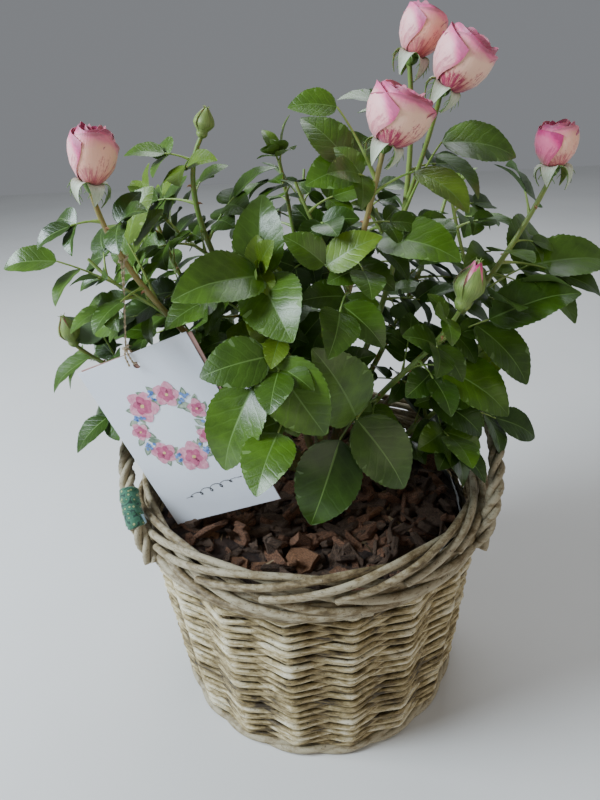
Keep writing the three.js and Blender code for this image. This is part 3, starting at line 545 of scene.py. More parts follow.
STAKE_RADIUS = 0.0027
STAKE_STEPS = 6
FOOT_ROD = 0.0029
FOOT_ROD_HEIGHT = 0.0046
FLOOR_RINGS = 20
FLOOR_ROD = 0.0026
FLOOR_MIDDLE = 0.012
stakes = Paths()
for i in range(STAKES):
    bearing = 2 * pi * i / STAKES
    foot = on_ring(bearing, WALL_FOOT_RADIUS - WALL_MIDDLE_INSET, STAKE_RADIUS + 0.001)
    top = on_ring(bearing, WALL_TOP_RADIUS - WALL_MIDDLE_INSET, WALL_HEIGHT + 0.004)
    stakes.run([foot.lerp(top, k / STAKE_STEPS) for k in range(STAKE_STEPS + 1)], STAKE_RADIUS,
               tone=(i * 0.37) % 1)
for strand in range(2):
    phase = pi * (strand + 0.5)
    ring = wavy_ring(10 * STAKES, WALL_FOOT_RADIUS - 0.0035, FOOT_ROD_HEIGHT, 0.0022, -0.0014, phase)
    stakes.run(ring, FOOT_ROD, tone=0.9)
for i in range(FLOOR_RINGS):
    radius = FLOOR_MIDDLE + (WALL_FOOT_RADIUS - 2 * FLOOR_MIDDLE) * i / (FLOOR_RINGS - 1)
    ring = wavy_ring(96, radius, FLOOR_ROD + 0.0012, 0, 0.0011, pi * i)
    stakes.run(ring, FLOOR_ROD, tone=(i * 0.61) % 1)
piece("basket_stakes", stakes.sweep("basket_stakes", rod_sweep), "willow")

# %% [markdown]
# The border is plaited from the tops of the stakes. Each one is bent to the left and runs low along
# the outside, climbs behind two others to the inner edge, crosses the top of the rim, and ends
# outside in a pale cut tip. One path, turned eighteen times, is the whole plait. Three rods that lie
# round the inside of the rim fill its gaps.

# %% The plaited border
BORDER_RADIUS = 0.137
BORDER_ROD = 0.0031
FILLING_ROD = 0.0027
# Stake spacings along the path, then the reach from the middle of the rim and the height, in mm
BORDER_PATH = [(-0.25, 2.5, 172), (0.1, 4.6, 175.5), (0.8, 5.4, 177), (1.5, 4.6, 181), (2.1, 1.8, 186.5),
               (2.7, -2.2, 192), (3.3, -4.8, 198), (3.9, -4.2, 202), (4.5, -0.4, 203), (5.1, 3.6, 199.6),
               (5.7, 5.3, 194.5), (6.25, 5.6, 190)]


def smooth_path(stops, steps):
    """Points on a smooth curve through the stops, each a tuple of numbers."""
    stops = [np.array(stop, dtype=float) for stop in stops]
    padded = [2 * stops[0] - stops[1], *stops, 2 * stops[-1] - stops[-2]]
    path = []
    for a, b, c, d in zip(padded, padded[1:], padded[2:], padded[3:]):
        for i in range(steps):
            t = i / steps
            path.append(0.5 * (2 * b + (c - a) * t + (2 * a - 5 * b + 4 * c - d) * t * t
                               + (3 * b - a - 3 * c + d) * t ** 3))
    return [*path, stops[-1]]


border = Paths()
for i in range(STAKES):
    aside, raised = 0.35 * sin(2.4 * i), 0.4 * cos(3.7 * i)
    path = []
    for along, out, up in smooth_path(BORDER_PATH, 5):
        bearing = 2 * pi * (i - along) / STAKES
        path.append(on_ring(bearing, BORDER_RADIUS + (out + aside * sin(along)) * MM,
                            (up + raised * cos(along * 1.3)) * MM))
    girth = [BORDER_ROD * (1.06 - 0.22 * j / len(path)) for j in range(len(path))]
    end = path[-1] + (path[-1] - path[-2]).normalized() * 0.0012
    border.run([*path, end], [*girth, girth[-1] * 0.55], tone=0.25 + 0.75 * ((i * 0.618) % 1))
for reach, up, phase in ((-3.6, 177.5, 0), (-4.6, 184, 2), (-1.2, 181, 4)):
    path = wavy_ring(8 * STAKES, BORDER_RADIUS + reach * MM, up * MM, 0.9 * MM, 1.4 * MM, phase)
    border.run(path, FILLING_ROD, tone=0.2 + 0.1 * phase)
piece("basket_border_plait", border.sweep("basket_border_plait", rod_sweep), "willow",
      replaces=["basket_border"])

# %% [markdown]
# Each handle is three rods twisted into a rope and bent into an arch, whose ends go down inside the
# plait. The sweep gets three rings instead of one, and a tilt that grows along the path twists them.

# %% The twisted handles
HANDLE_STOPS = [(-1, 146.5, 176), (-0.8, 149.5, 206), (-0.45, 147, 229), (0, 145, 239),
                (0.45, 147, 229), (0.8, 149.5, 206), (1, 146.5, 176)]
HANDLE_SPAN = radians(34)
HANDLE_RADIUS = 0.0063
HANDLE_PITCH = 0.045
HANDLE_TONE = 0.95
STRAND_OVERLAP = 1.08


def handle_path(middle, steps=10):
    return [on_ring(middle + share * HANDLE_SPAN, reach * MM, up * MM)
            for share, reach, up in smooth_path(HANDLE_STOPS, steps)]


def rope_tree(name, strands, radius, pitch, material, sides=8):
    """Strands that lie round the middle of a path and turn round it once in every pitch."""
    tree, given = new_tree(name)
    curves = add(tree, "GeometryNodeMeshToCurve", {0: given["Geometry"]})
    length = add(tree, "GeometryNodeSplineParameter").outputs["Length"]
    tilt = times(tree, length, 2 * pi / pitch)
    curves = add(tree, "GeometryNodeSetCurveTilt", {"Curve": curves, "Tilt": tilt})
    strand_radius = radius / (1 + 1 / sin(pi / strands))
    if strands == 2:
        seats = add(tree, "GeometryNodeMeshLine", {
            "Count": 2, "Start Location": (-strand_radius, 0, 0), "Offset": (2 * strand_radius, 0, 0)})
    else:
        middles = circle(tree, strands, radius - strand_radius)
        seats = add(tree, "GeometryNodeCurveToPoints", {"Curve": middles}, mode="EVALUATED")
    profile = add(tree, "GeometryNodeInstanceOnPoints", {
        "Points": seats, "Instance": circle(tree, sides, STRAND_OVERLAP * strand_radius)})
    profile = add(tree, "GeometryNodeRealizeInstances", {0: profile})
    rope = add(tree, "GeometryNodeCurveToMesh", {"Curve": curves, "Profile Curve": profile,
                                                 "Fill Caps": True})
    smooth = add(tree, "GeometryNodeSetShadeSmooth", {0: rope})
    return end_tree(tree, smooth, material)


handle_rope = rope_tree("handle rope", 3, HANDLE_RADIUS, HANDLE_PITCH, rod_willow)
for side, middle in (("right", 0), ("left", pi)):
    arch = Paths()
    arch.run(handle_path(middle), HANDLE_RADIUS, tone=HANDLE_TONE)
    name = f"handle_{side}_rope"
    piece(name, arch.sweep(name, handle_rope), "willow", replaces=[f"handle_{side}"])

# %% [markdown]
# ## Filling
# A crinkled plastic liner stands a finger's width above the soil along the wall. Its sheet starts as
# a smooth band. A fold pattern that turns with the bearing pushes it in and out, and a finer noise
# gives the crinkles that catch the light. Such film is silver inside and black outside, which keeps
# the gaps of the weave dark.

# %% The liner
LINER_STEPS = 260
LINER_ROWS = 14
LINER_LOW = 0.120
LINER_HIGH = 0.171
LINER_REACH = 0.1254
LINER_FLARE = 0.08
LINER_THICKNESS = 0.0007


def liner_point(step, row, inwards):
    bearing = 2 * pi * step / LINER_STEPS
    share = row / (LINER_ROWS - 1)
    spot = on_ring(bearing, 3, share * 0.8)
    fold = noise.noise(spot * 2.2) * 0.0016 + noise.noise(spot * 7.5) * 0.0011
    edge = noise.noise(Vector((bearing * 4, 7, 0))) * 0.0022 * share
    height = LINER_LOW + (LINER_HIGH - LINER_LOW) * share + edge
    lean = -0.0018 * share - 0.0016 * share ** 6
    flare = (height - 0.15) * LINER_FLARE
    return on_ring(bearing, LINER_REACH + flare + lean + min(fold, 0.001) - inwards, height)


points = [liner_point(step, row, inwards) for inwards in (0, LINER_THICKNESS)
          for row in range(LINER_ROWS) for step in range(LINER_STEPS)]
faces, silver = [], []
for row in range(LINER_ROWS - 1):
    for step in range(LINER_STEPS):
        a, b = row * LINER_STEPS + step, row * LINER_STEPS + (step + 1) % LINER_STEPS
        c, d = b + LINER_STEPS, a + LINER_STEPS
        inner = LINER_ROWS * LINER_STEPS
        faces += [(a, b, c, d), (inner + a, inner + d, inner + c, inner + b)]
        silver += [0, 1]
for row, turned_down in ((0, True), (LINER_ROWS - 1, False)):
    for step in range(LINER_STEPS):
        a, b = row * LINER_STEPS + step, row * LINER_STEPS + (step + 1) % LINER_STEPS
        c, d = b + LINER_ROWS * LINER_STEPS, a + LINER_ROWS * LINER_STEPS
        faces.append((a, d, c, b) if turned_down else (a, b, c, d))
        silver.append(1)
liner_film = mottled("liner_film", 0.28, dict(scale=60, detail=5), (0.3, (0.24, 0.25, 0.26)),
                     (0.7, (0.56, 0.57, 0.58)), (0.8, 0.0016), dict(scale=230, detail=5, rough=0.7),
                     Metallic=0.35)
liner_outside = mottled("liner_outside", 0.5, dict(scale=90), (0.3, (0.006, 0.006, 0.007)),
                        (0.7, (0.02, 0.02, 0.021)))
liner = mesh_of("liner_sheet", points, faces=faces, smooth=True)
liner.polygons.foreach_set("material_index", silver)
liner.set_sharp_from_angle(angle=radians(60))
piece("liner_sheet", liner, "liner", liner_outside, liner_film, replaces=["liner"])

# %% [markdown]
# The compost and the bark's bed keep the model's solids and get a dark crumbly finish. On the bed lie
# the chips: torn flakes of pine bark, thick and thin, most of them brown or red-brown, some orange on
# a fresh face, a few straw-pale slivers of wood. The bed's own surface says how high each chip lies.

# %% The bed
def crumbs(name, dark, light, scale):
    return mottled(name, 0.93, dict(scale=scale, detail=8, rough=0.7), (0.35, dark), (0.68, light),
                   (1.0, 0.005))


for name, slot, dark, light, scale in (
        ("compost", "compost", (0.01, 0.007, 0.005), (0.05, 0.03, 0.02), 210),
        ("bark_mulch", "bark", (0.008, 0.004, 0.003), (0.05, 0.024, 0.014), 120)):
    NODES[name].data.materials.clear()
    NODES[name].data.materials.append(crumbs(f"{name}_crumbs", dark, light, scale))


def surface_of(*names):
    """The nodes' faces, ready to be asked what lies nearest or under a point."""
    points, faces = [], []
    for name in names:
        first = len(points)
        mesh = NODES[name].data
        points += [NODES[name].matrix_world @ vertex.co for vertex in mesh.vertices]
        faces += [[first + i for i in face.vertices] for face in mesh.polygons]
    return BVHTree.FromPolygons(points, faces)


CROWN = Vector((8, 6, 184))
CROWN_RADIUS = 15
UP = Vector((0, 0, 1))
DOWN = -UP
bed = surface_of("bark_mulch")
print("the bed is", round(bed.ray_cast(Vector((0.06, 0.03, 1)), DOWN)[0].z / MM), "mm high")

# %% [markdown]
# One chip is a bent slab with a broken outline. Eight of them are cut by the same rule from different
# seeds. Points over the bed carry a turn and a size, laid in three coats: small ones that fill the
# gaps, then large slabs, and on top a few that lie freely or stand on edge. A tree sets a chip on
# each. Weathered, red, fresh and straw chips are parts of one mesh.

# %% A chip of bark
CHIP_SIDES = 8


def chip_mesh(name, seed, length, width, thickness):
    """A slab of 40 faces: a broken rim, an uneven upper face and a flat belly."""
    chance = dice(seed)
    for _ in range(3):
        chance()
    outline = []
    for i in range(CHIP_SIDES):
        bearing = 2 * pi * (i + 0.7 * chance()) / CHIP_SIDES
        reach = (0.72 + 0.5 * chance()) / max(abs(cos(bearing)), abs(sin(bearing))) ** 0.75
        outline.append((0.42 * length * reach * cos(bearing), 0.42 * width * reach * sin(bearing)))
    bend, twist = 0.22 * (chance() - 0.5), 0.7 * (chance() - 0.5)
    points = []
    for level, shrink in ((0.5, 0.9), (0.42, 0.45), (0.1, 1.0), (-0.5, 0.86)):
        for x, y in outline:
            lift = thickness * (level + 0.34 * (chance() - 0.5))
            points.append((x * shrink, y * shrink, lift + bend * x * x / length + twist * x * y / length))
    top, bottom = len(points), len(points) + 1
    points += [(0, 0, thickness * 0.4), (0, 0, -thickness * 0.5)]
    faces = []
    for i in range(CHIP_SIDES):
        j = (i + 1) % CHIP_SIDES
        outer, ridge, belly, under = (ring * CHIP_SIDES for ring in range(4))
        faces += [(ridge + i, ridge + j, top), (under + j, under + i, bottom)]
        faces += [(low + i, low + j, high + j, high + i)
                  for low, high in ((outer, ridge), (belly, outer), (under, belly))]
    mesh = mesh_of(name, points, faces=faces)
    layer = mesh.uv_layers.new(name="UVMap").data
    for loop in mesh.loops:
        x, y, z = mesh.vertices[loop.vertex_index].co
        layer[loop.index].uv = ((x + seed) / 30, (y + z) / 30)
    return mesh


CHIP_FORMS = [(30, 13, 4), (24, 11, 3.5), (38, 12, 4), (20, 14, 4.5), (34, 18, 5), (28, 8, 3),
              (24, 17, 5.5), (18, 10, 3)]
chips = [chip_mesh(f"chip_{i}", 31 + 7 * i, *form) for i, form in enumerate(CHIP_FORMS)]
sliver = chip_mesh("sliver", 5, 26, 2.6, 1.6)
print("faces of a chip:", len(chips[0].polygons))


def bark_finish(name, dark, light, stretch):
    fibres = dict(scale=16, stretch=(1, stretch, 1), detail=7, rough=0.7, coordinate="UV")
    return mottled(name, 0.82, fibres, (0.36, dark), (0.66, light), (1.0, 0.004))


CHIP_PAINTS = [bark_finish("bark_weathered", (0.014, 0.008, 0.005), (0.2, 0.112, 0.062), 3.5),
               bark_finish("bark_red", (0.024, 0.01, 0.005), (0.37, 0.17, 0.085), 3),
               bark_finish("bark_fresh", (0.085, 0.032, 0.012), (0.36, 0.17, 0.075), 4),
               bark_finish("bark_straw", (0.25, 0.16, 0.08), (0.5, 0.38, 0.22), 5)]

# %% Scatter the chips
# Number, rise over the bed, tilt in degrees, and the least and most of the size
CHIP_COATS = [(420, -0.4, 18, 0.5, 0.9), (200, 2.4, 36, 0.85, 1.3), (150, 5.2, 70, 0.8, 1.25)]
CHIP_REACH = 119
CHIP_EDGE = 125
CROWN_ROOM = 20
STRAW_SHARE = 0.05
RED_FROM, FRESH_FROM = 0.55, 0.94
roll = dice(909)
scattered = {form: [] for form in range(len(chips) + 1)}
for count, raised, tilt, least, most in CHIP_COATS:
    for _ in range(count):
        reach, bearing = CHIP_REACH * sqrt(roll()), 2 * pi * roll()
        x, y = reach * cos(bearing), reach * sin(bearing)
        form = int(roll() * len(chips)) if roll() > STRAW_SHARE else len(chips)
        turn = (Quaternion(UP, 2 * pi * roll())
                @ Quaternion((1, 0, 0), radians(tilt) * (2 * roll() - 1))
                @ Quaternion((0, 1, 0), radians(tilt) * (2 * roll() - 1)))
        size = least + (most - least) * roll()
        chance = roll()
        paint = 3 if form == len(chips) else (chance >= RED_FROM) + (chance >= FRESH_FROM)
        if hypot(x - CROWN.x, y - CROWN.y) < CROWN_ROOM:
            continue
        half = turn @ Vector((CHIP_FORMS[min(form, len(chips) - 1)][0] * size / 2, 0, 0))
        ends = [hypot(x + hand * half.x, y + hand * half.y) for hand in (1, -1)]
        ground = bed.ray_cast(Vector((x, y, 1000)) * MM, DOWN)[0]
        if max(ends) < CHIP_EDGE and ground:
            scattered[form].append((ground + Vector((0, 0, raised * MM)), turn, size * MM, paint))


chip_meshes = [scatter(mesh.name, mesh, scattered[form], *CHIP_PAINTS,
                       parts=[spot[3] for spot in scattered[form]])
               for form, mesh in enumerate([*chips, sliver])]
piece("bark_chips", joined("bark_chips", chip_meshes), "bark")

# %% [markdown]
# A strip of printed cloth is wound round the near leg of the left handle. It is a coil that laps over
# itself, green with a small leaf print, and a pale blue turn shows at its lower end.

# %% Cloth round the handle
WRAP_FROM, WRAP_TO = 0.735, 0.865
WRAP_TURNS = 3.4
WRAP_ROWS = 40
WRAP_SIDES = 22
WRAP_REACH = 0.0068
WRAP_LAP = 0.0009
WRAP_HEM = 0.0012
BLUE_FROM = 0.7
whole = handle_path(pi, 20)
points, faces, blue = [], [], []
for row in range(WRAP_ROWS + 1):
    share = WRAP_FROM + (WRAP_TO - WRAP_FROM) * row / WRAP_ROWS
    at = share * (len(whole) - 1)
    middle = whole[int(at)].lerp(whole[min(int(at) + 1, len(whole) - 1)], at % 1)
    along = (whole[min(int(at) + 2, len(whole) - 1)] - whole[int(at) - 2]).normalized()
    first = along.cross(UP).normalized()
    second = along.cross(first)
    for side in range(WRAP_SIDES):
        bearing = 2 * pi * side / WRAP_SIDES
        lap = (WRAP_TURNS * row / WRAP_ROWS + bearing / (2 * pi)) % 1
        wrinkle = noise.noise(on_ring(bearing, 3, row * 0.3)) * 0.0004
        reach = WRAP_REACH + WRAP_LAP * lap + wrinkle - (WRAP_HEM if row in (0, WRAP_ROWS) else 0)
        points.append(middle + first * reach * cos(bearing) + second * reach * sin(bearing))
for row in range(WRAP_ROWS):
    for side in range(WRAP_SIDES):
        a, b = row * WRAP_SIDES + side, row * WRAP_SIDES + (side + 1) % WRAP_SIDES
        faces.append((a, b, b + WRAP_SIDES, a + WRAP_SIDES))
        blue.append(int(row > BLUE_FROM * WRAP_ROWS and 2 < side < 14))
faces += [range(WRAP_SIDES)[::-1], range(WRAP_ROWS * WRAP_SIDES, (WRAP_ROWS + 1) * WRAP_SIDES)]
print_cloth, tree, surface = finish("printed_cloth", 0.85, Sheen_Weight=0.2)
leaves = add(tree, "ShaderNodeTexVoronoi", {"Vector": add(tree, "ShaderNodeTexCoord").outputs["Object"],
                                            "Scale": 260.0}).outputs["Distance"]
base_colour(tree, surface, ramp(tree, leaves, (0.2, (0.3, 0.36, 0.16)), (0.3, (0.03, 0.11, 0.06)),
                                (0.6, (0.05, 0.17, 0.1)), (0.7, (0.015, 0.05, 0.035))))
bump(tree, surface, grain(tree, 1500, detail=2), 0.5, 0.0004)
blue_cloth = mottled("blue_cloth", 0.8, dict(scale=420), (0.35, (0.3, 0.5, 0.62)),
                     (0.65, (0.5, 0.68, 0.76)), Sheen_Weight=0.2)
wrap = mesh_of("handle_cloth", points, faces=faces, smooth=True)
wrap.polygons.foreach_set("material_index", [*blue, 0, 0])
piece("handle_cloth", wrap, "handle_cloth", print_cloth, blue_cloth, replaces=["handle_wrap"])

# %% [markdown]
# ## The rose's plan
# Every cane springs from the knobbly crown and goes on as a leafy stem. The plan below is the one the
# model was grown by: four points for each stem, then a rule that sets leaves round it at the golden
# angle and throws a dice with a fixed seed. Run again here, it gives the same leaves at the same
# places, and the finer growth is added to them. Its lengths are millimetres.

# %% Shoots
CANE_RADII = (3.2, 2.6)
STEM_RADII = (2.5, 1.5)
TWIG_RADII = (1.4, 1.1)
GOLDEN_ANGLE = radians(137.5)

# Azimuth and elevation on the crown, the stem's four points, leaves, leaf size, side twigs and seed
SHOOTS = {
    "bloom_left": ((196, 50), [(-48, -14, 283), (-84, -34, 340), (-117, -52, 385), (-121, -56, 437)],
                   3, 40, 1, 11),
    "bud_low_left": ((172, 18), [(-78, 4, 243), (-112, 6, 280), (-150, 0, 292), (-172, -5, 321)],
                     4, 38, 0, 23),
    "bud_top_left": ((138, 68), [(-26, 12, 300), (-52, 6, 350), (-88, 2, 420), (-61, 0, 459)],
                     5, 44, 1, 31),
    "bloom_middle": ((-78, 72), [(18, -10, 285), (26, -26, 345), (38, -44, 395), (50, -50, 450)],
                     4, 46, 1, 47),
    "bloom_pair": ((20, 69), [(44, 10, 293), (64, 8, 345), (82, 6, 410), (72, 0, 494)], 4, 46, 1, 53),
    "bloom_right": ((6, 42), [(80, 2, 278), (112, -5, 325), (142, -16, 372), (162, -20, 428)],
                    4, 44, 1, 61),
    "bud_front": ((-38, 44), [(44, -18, 258), (58, -36, 296), (84, -58, 322), (98, -66, 357)],
                  2, 46, 0, 73),
    "front": ((-95, 38), [(8, -36, 250), (4, -52, 285), (-4, -60, 318), (-16, -68, 340)], 3, 50, 0, 83),
    "front_left": ((-142, 34), [(-24, -16, 252), (-34, -26, 300), (-36, -34, 340), (-30, -44, 376)],
                   4, 50, 1, 97),
    "low_right": ((-12, 10), [(60, -8, 218), (85, -14, 240), (105, -20, 262), (116, -26, 290)],
                  4, 44, 1, 101),
    "back_right": ((50, 38), [(54, 44, 262), (85, 68, 310), (108, 84, 350), (120, 88, 396)],
                   5, 54, 1, 113),
    "back": ((95, 44), [(8, 56, 268), (2, 88, 320), (-4, 96, 372), (-14, 84, 432)], 5, 54, 2, 127),
    "back_left": ((142, 30), [(-46, 40, 258), (-82, 60, 305), (-108, 74, 350), (-118, 76, 402)],
                  5, 54, 1, 139),
}
FLOWER_TWIG = {"shoot": "bloom_pair", "at": 0.62, "bend": (86, -10, 456), "tip": (87, -24, 477)}

# Leaves listed one by one: shoot, share of the stem, elbow, tip, pairs of side leaflets
KEY_LEAVES = [
    ("bud_front", 0.12, (20, -80, 274), (-2, -103, 220), 0),
    ("bud_front", 0.14, (32, -72, 286), (6, -84, 342), 0),
    ("bud_front", 0.16, (32, -75, 286), (64, -92, 240), 0),
    ("bud_front", 0.3, (43, -64, 284), (79, -76, 267), 0),
    ("bud_front", 0.5, (89, -60, 316), (134, -78, 287), 0),
    ("bud_front", 0.6, (124, -42, 340), (179, -50, 362), 1),
    ("front", 0.7, (-21, -84, 336), (10, -104, 292), 0),
    ("front", 0.85, (-23, -84, 339), (-65, -96, 333), 0),
    ("front", 0.6, (-32, -86, 324), (-59, -104, 269), 0),
    ("front", 0.4, (-29, -80, 290), (-36, -90, 250), 0),
    ("front", 0.95, (32, -60, 349), (-11, -80, 343), 0),
    ("front_left", 0.9, (-25, -50, 380), (-76, -85, 382), 1),
    ("front_left", 0.7, (-57, -46, 366), (-90, -62, 352), 0),
    ("bloom_middle", 0.4, (14, -60, 388), (-10, -60, 407), 0),
    ("bloom_middle", 0.45, (15, -60, 387), (47, -66, 406), 0),
    ("bloom_middle", 0.6, (49, -40, 398), (95, -70, 391), 0),
    ("bloom_middle", 0.85, (69, -50, 438), (98, -70, 418), 0),
    ("bloom_pair", 0.6, (88, -30, 451), (134, -32, 442), 1),
    ("bloom_middle", 0.9, (24, -45, 474), (-4, -45, 476), 0),
    ("low_right", 0.6, (98, -36, 255), (119, -52, 209), 0),
    ("low_right", 0.8, (88, -40, 282), (126, -52, 256), 0),
    ("bloom_right", 0.45, (160, -10, 367), (222, -8, 368), 1),
    ("bloom_left", 0.42, (-152, -52, 396), (-186, -54, 396), 1),
    ("bloom_left", 0.5, (-112, -30, 400), (-92, -26, 434), 1),
    ("bud_low_left", 0.7, (-162, -8, 312), (-195, -16, 290), 0),
    ("bud_top_left", 0.2, (-112, 4, 324), (-151, -2, 330), 0),
]
print(len(SHOOTS), "shoots,", len(KEY_LEAVES), "leaves set by eye")

# %% [markdown]
# The rule needs only a few tools besides the dice: a Bezier curve with its direction, and the
# directions square to a stem.

# %% Tools of the rule
def bezier(*stops):
    stops = [Vector(stop) for stop in stops]

    def curve(share):
        row = stops
        while len(row) > 1:
            row = [a.lerp(b, share) for a, b in zip(row, row[1:])]
        return row[0]
    return curve


def direction(curve, share, step=1e-3):
    return (curve(min(share + step, 1)) - curve(max(share - step, 0))).normalized()


def outwards(point):
    return Vector((point.x, point.y, 0)).normalized()


def across_stem(along):
    first = Vector((0, 1, 0)).cross(along).normalized()
    return first, along.cross(first)


def away_from(along, bearing):
    """The direction square to a stem at this bearing round it."""
    first, second = across_stem(along)
    return first * cos(bearing) + second * sin(bearing)


def cane_curve(foot, stem):
    azimuth, elevation = map(radians, foot)
    away = Vector((cos(elevation) * cos(azimuth), cos(elevation) * sin(azimuth), sin(elevation)))
    tip, onward = Vector(stem[0]), (Vector(stem[1]) - Vector(stem[0])).normalized()
    start = CROWN + away * (CROWN_RADIUS - 1)
    reach = (tip - start).length / 3
    return bezier(start, start + away * reach, tip - onward * reach, tip)


# %% [markdown]
# A rose leaf is compound: a stalk, an end leaflet and one or two pairs of side leaflets. The stalk
# bends down at an elbow, and the leaflets look up, outwards and a little to the light in front.

# %% One leaf of the plan
PAIRS = [(0.8, 0.88), (0.42, 0.74)]
PAIR_ANGLE = radians(63)
PAIR_DROOP = 0.2
LONG_STALK = 1.15
SHORT_STALK = 0.75
FACING_OUT = 0.75
FACING_FRONT = 0.45


def leaf_parts(start, elbow, tip, pairs, roll):
    """The stalk's curve, and (root, tip) of every leaflet, the end one first."""
    middle = (start + elbow) / 2 + UP * (start - elbow).length * 0.12
    stalk = bezier(start, middle, elbow)
    facing = Vector((roll * 0.5, roll * 0.3 - FACING_FRONT, 1)) + outwards(elbow) * FACING_OUT
    size = (tip - elbow).length
    leaflets = [(elbow, tip)]
    along = (elbow - middle).normalized()
    side = along.cross(facing).normalized()
    for at, share in PAIRS[:pairs]:
        base = stalk(at)
        for hand in (1, -1):
            reach = along * cos(PAIR_ANGLE) + side * hand * sin(PAIR_ANGLE) - UP * PAIR_DROOP
            leaflets.append((base, base + reach.normalized() * size * share))
    return {"stalk": stalk, "facing": facing, "leaflets": leaflets}


def ruled_leaf(curve, share, bearing, size, pairs, roll):
    start, along = curve(share), direction(curve, share)
    way = (away_from(along, bearing) + outwards(start) * 0.5 + along * 0.35).normalized()
    reach = size * (LONG_STALK if pairs == 2 else SHORT_STALK)
    elbow = start + way * reach - UP * 0.12 * reach
    onward = (way - UP * (0.35 + 0.35 * abs(roll))).normalized()
    return leaf_parts(start, elbow, elbow + onward * size, pairs, roll)


def twig_curve(curve, share, bearing, length):
    start, along = curve(share), direction(curve, share)
    way = (away_from(along, bearing) + along * 0.7).normalized()
    return bezier(start, *(start + way * reach * length + UP * rise * length
                           for reach, rise in ((0.35, 0), (0.7, 0.1), (0.95, 0.3))))


# %% [markdown]
# The model left out every leaf and twig that would have touched its neighbours. Rather than a list of
# those, the solid of the shoot itself is asked: a leaflet stands only where its tip meets the solid.

# %% Grow the plan again
TWIG_LENGTH = 62
TWIG_LEAVES = 2
TIP_TOLERANCE = 0.6 * MM


def stands(shoot, point, tolerance=TIP_TOLERANCE):
    return SHOOT_SURFACE[shoot].find_nearest(point * MM)[3] < tolerance


def shoot_axes(stem, leaves, size, twigs, seed):
    roll = dice(seed)
    curve = bezier(*stem)
    phase = 2 * pi * roll()
    axes = [{"curve": curve, "count": leaves, "size": size, "phase": phase, "twig": False}]
    for i in range(twigs):
        share = 0.22 + 0.5 * (i + 0.5) / twigs
        bearing = phase + 1 + i * GOLDEN_ANGLE * 2
        length = TWIG_LENGTH * (0.8 + 0.4 * roll())
        axes.append({"curve": twig_curve(curve, share, bearing, length), "count": TWIG_LEAVES,
                     "size": size * 0.85, "phase": bearing + 2, "twig": True})
    for axis in axes:
        axis["leaves"] = []
        for i in range(axis["count"]):
            share = 0.14 + 0.8 * (i + 0.5) / axis["count"]
            leaf_size = axis["size"] * (1 - 0.3 * share) * (0.88 + 0.24 * roll())
            bearing = axis["phase"] + i * GOLDEN_ANGLE + 0.5 * (roll() - 0.5)
            pairs = 1 if axis["twig"] or share > 0.7 else 2
            axis["leaves"].append(
                ruled_leaf(axis["curve"], share, bearing, leaf_size, pairs, roll() - 0.5))
    return axes


SHOOT_SURFACE = {name: surface_of(f"shoot_{name}") for name in SHOOTS}
plans = {name: shoot_axes(*facts[1:]) for name, facts in SHOOTS.items()}
grown = []


def take(shoot, leaf):
    """Keep the leaflets that the solid has; with no end leaflet there is no leaf."""
    if stands(shoot, leaf["leaflets"][0][1]):
        sides = [leaflet for leaflet in leaf["leaflets"][1:] if stands(shoot, leaflet[1])]
        grown.append({**leaf, "leaflets": [leaf["leaflets"][0], *sides]})


for name, share, elbow, tip, pairs in KEY_LEAVES:
    take(name, leaf_parts(plans[name][0]["curve"](share), Vector(elbow), Vector(tip), pairs, 0))
for name, axes in plans.items():
    for axis in axes:
        axis["stands"] = not axis["twig"] or stands(name, axis["curve"](1), 1.5 * MM)
        if axis["stands"]:
            for leaf in axis["leaves"]:
                take(name, leaf)
print(len(grown), "leaves with", sum(len(leaf["leaflets"]) for leaf in grown), "leaflets")

# %% [markdown]
# A living bush has more than the model could hold. Between the planned leaves, each stem and twig
# also gets smaller ones, and a stem with no flower ends in a tuft of young ones. They are tried one
# by one. One that would stand in the card, the basket, a flower or another shoot's leaf is left out,
# and so is one that would hide the card's hole and its twine from the front.

# %% Finer growth within the same reach
EXTRA_TRIES = {"leafy": 9, "flowering": 6, "twig": 4}
EXTRA_SIZE = 0.78
LEAF_SPACING = 14
TUFT_LEAVES = 3
TUFT_SIZE = 26
FIRM_CLEARANCE = 3.0 * MM
LEAF_CLEARANCE = 1.6 * MM
EDGE_CLEARANCE = 4.0 * MM
SIGHT_CLEARANCE = 10
firm = surface_of("tag_front", "tag_back", "tag_twine", "basket_border", "handle_left", "handle_right",
                  "handle_wrap", "bark_mulch", "liner")
crown_low, crown_high = CAD_BOX
EYE = Vector(CAMERA_PLACE) / MM
CARD_HOLE = Vector((-115, -54, 324))
TWINE_HOOK = 0.72
twine_top = plans["bloom_left"][0]["curve"](TWINE_HOOK)
kept_in_view = [CARD_HOLE.lerp(twine_top, share) for share in (0, 0.25, 0.5, 0.75)]
roll = dice(2024)


def hides_twine(point):
    for target in kept_in_view:
        sight = target - EYE
        share = (point - EYE).dot(sight) / sight.dot(sight)
        if share < 0.99 and (EYE + sight * share - point).length < SIGHT_CLEARANCE:
            return True
    return False


def free(shoot, point):
    spot = point * MM
    within = all(low + EDGE_CLEARANCE < value < high - EDGE_CLEARANCE
                 for low, value, high in zip(crown_low, spot, crown_high))
    if not within or firm.find_nearest(spot)[3] < FIRM_CLEARANCE or hides_twine(point):
        return False
    return all(surface.find_nearest(spot)[3] > LEAF_CLEARANCE
               for name, surface in SHOOT_SURFACE.items() if name != shoot)


def leaflet_free(shoot, leaflet):
    root, tip = leaflet
    return all(free(shoot, root.lerp(tip, share)) for share in (0.35, 0.7, 1))


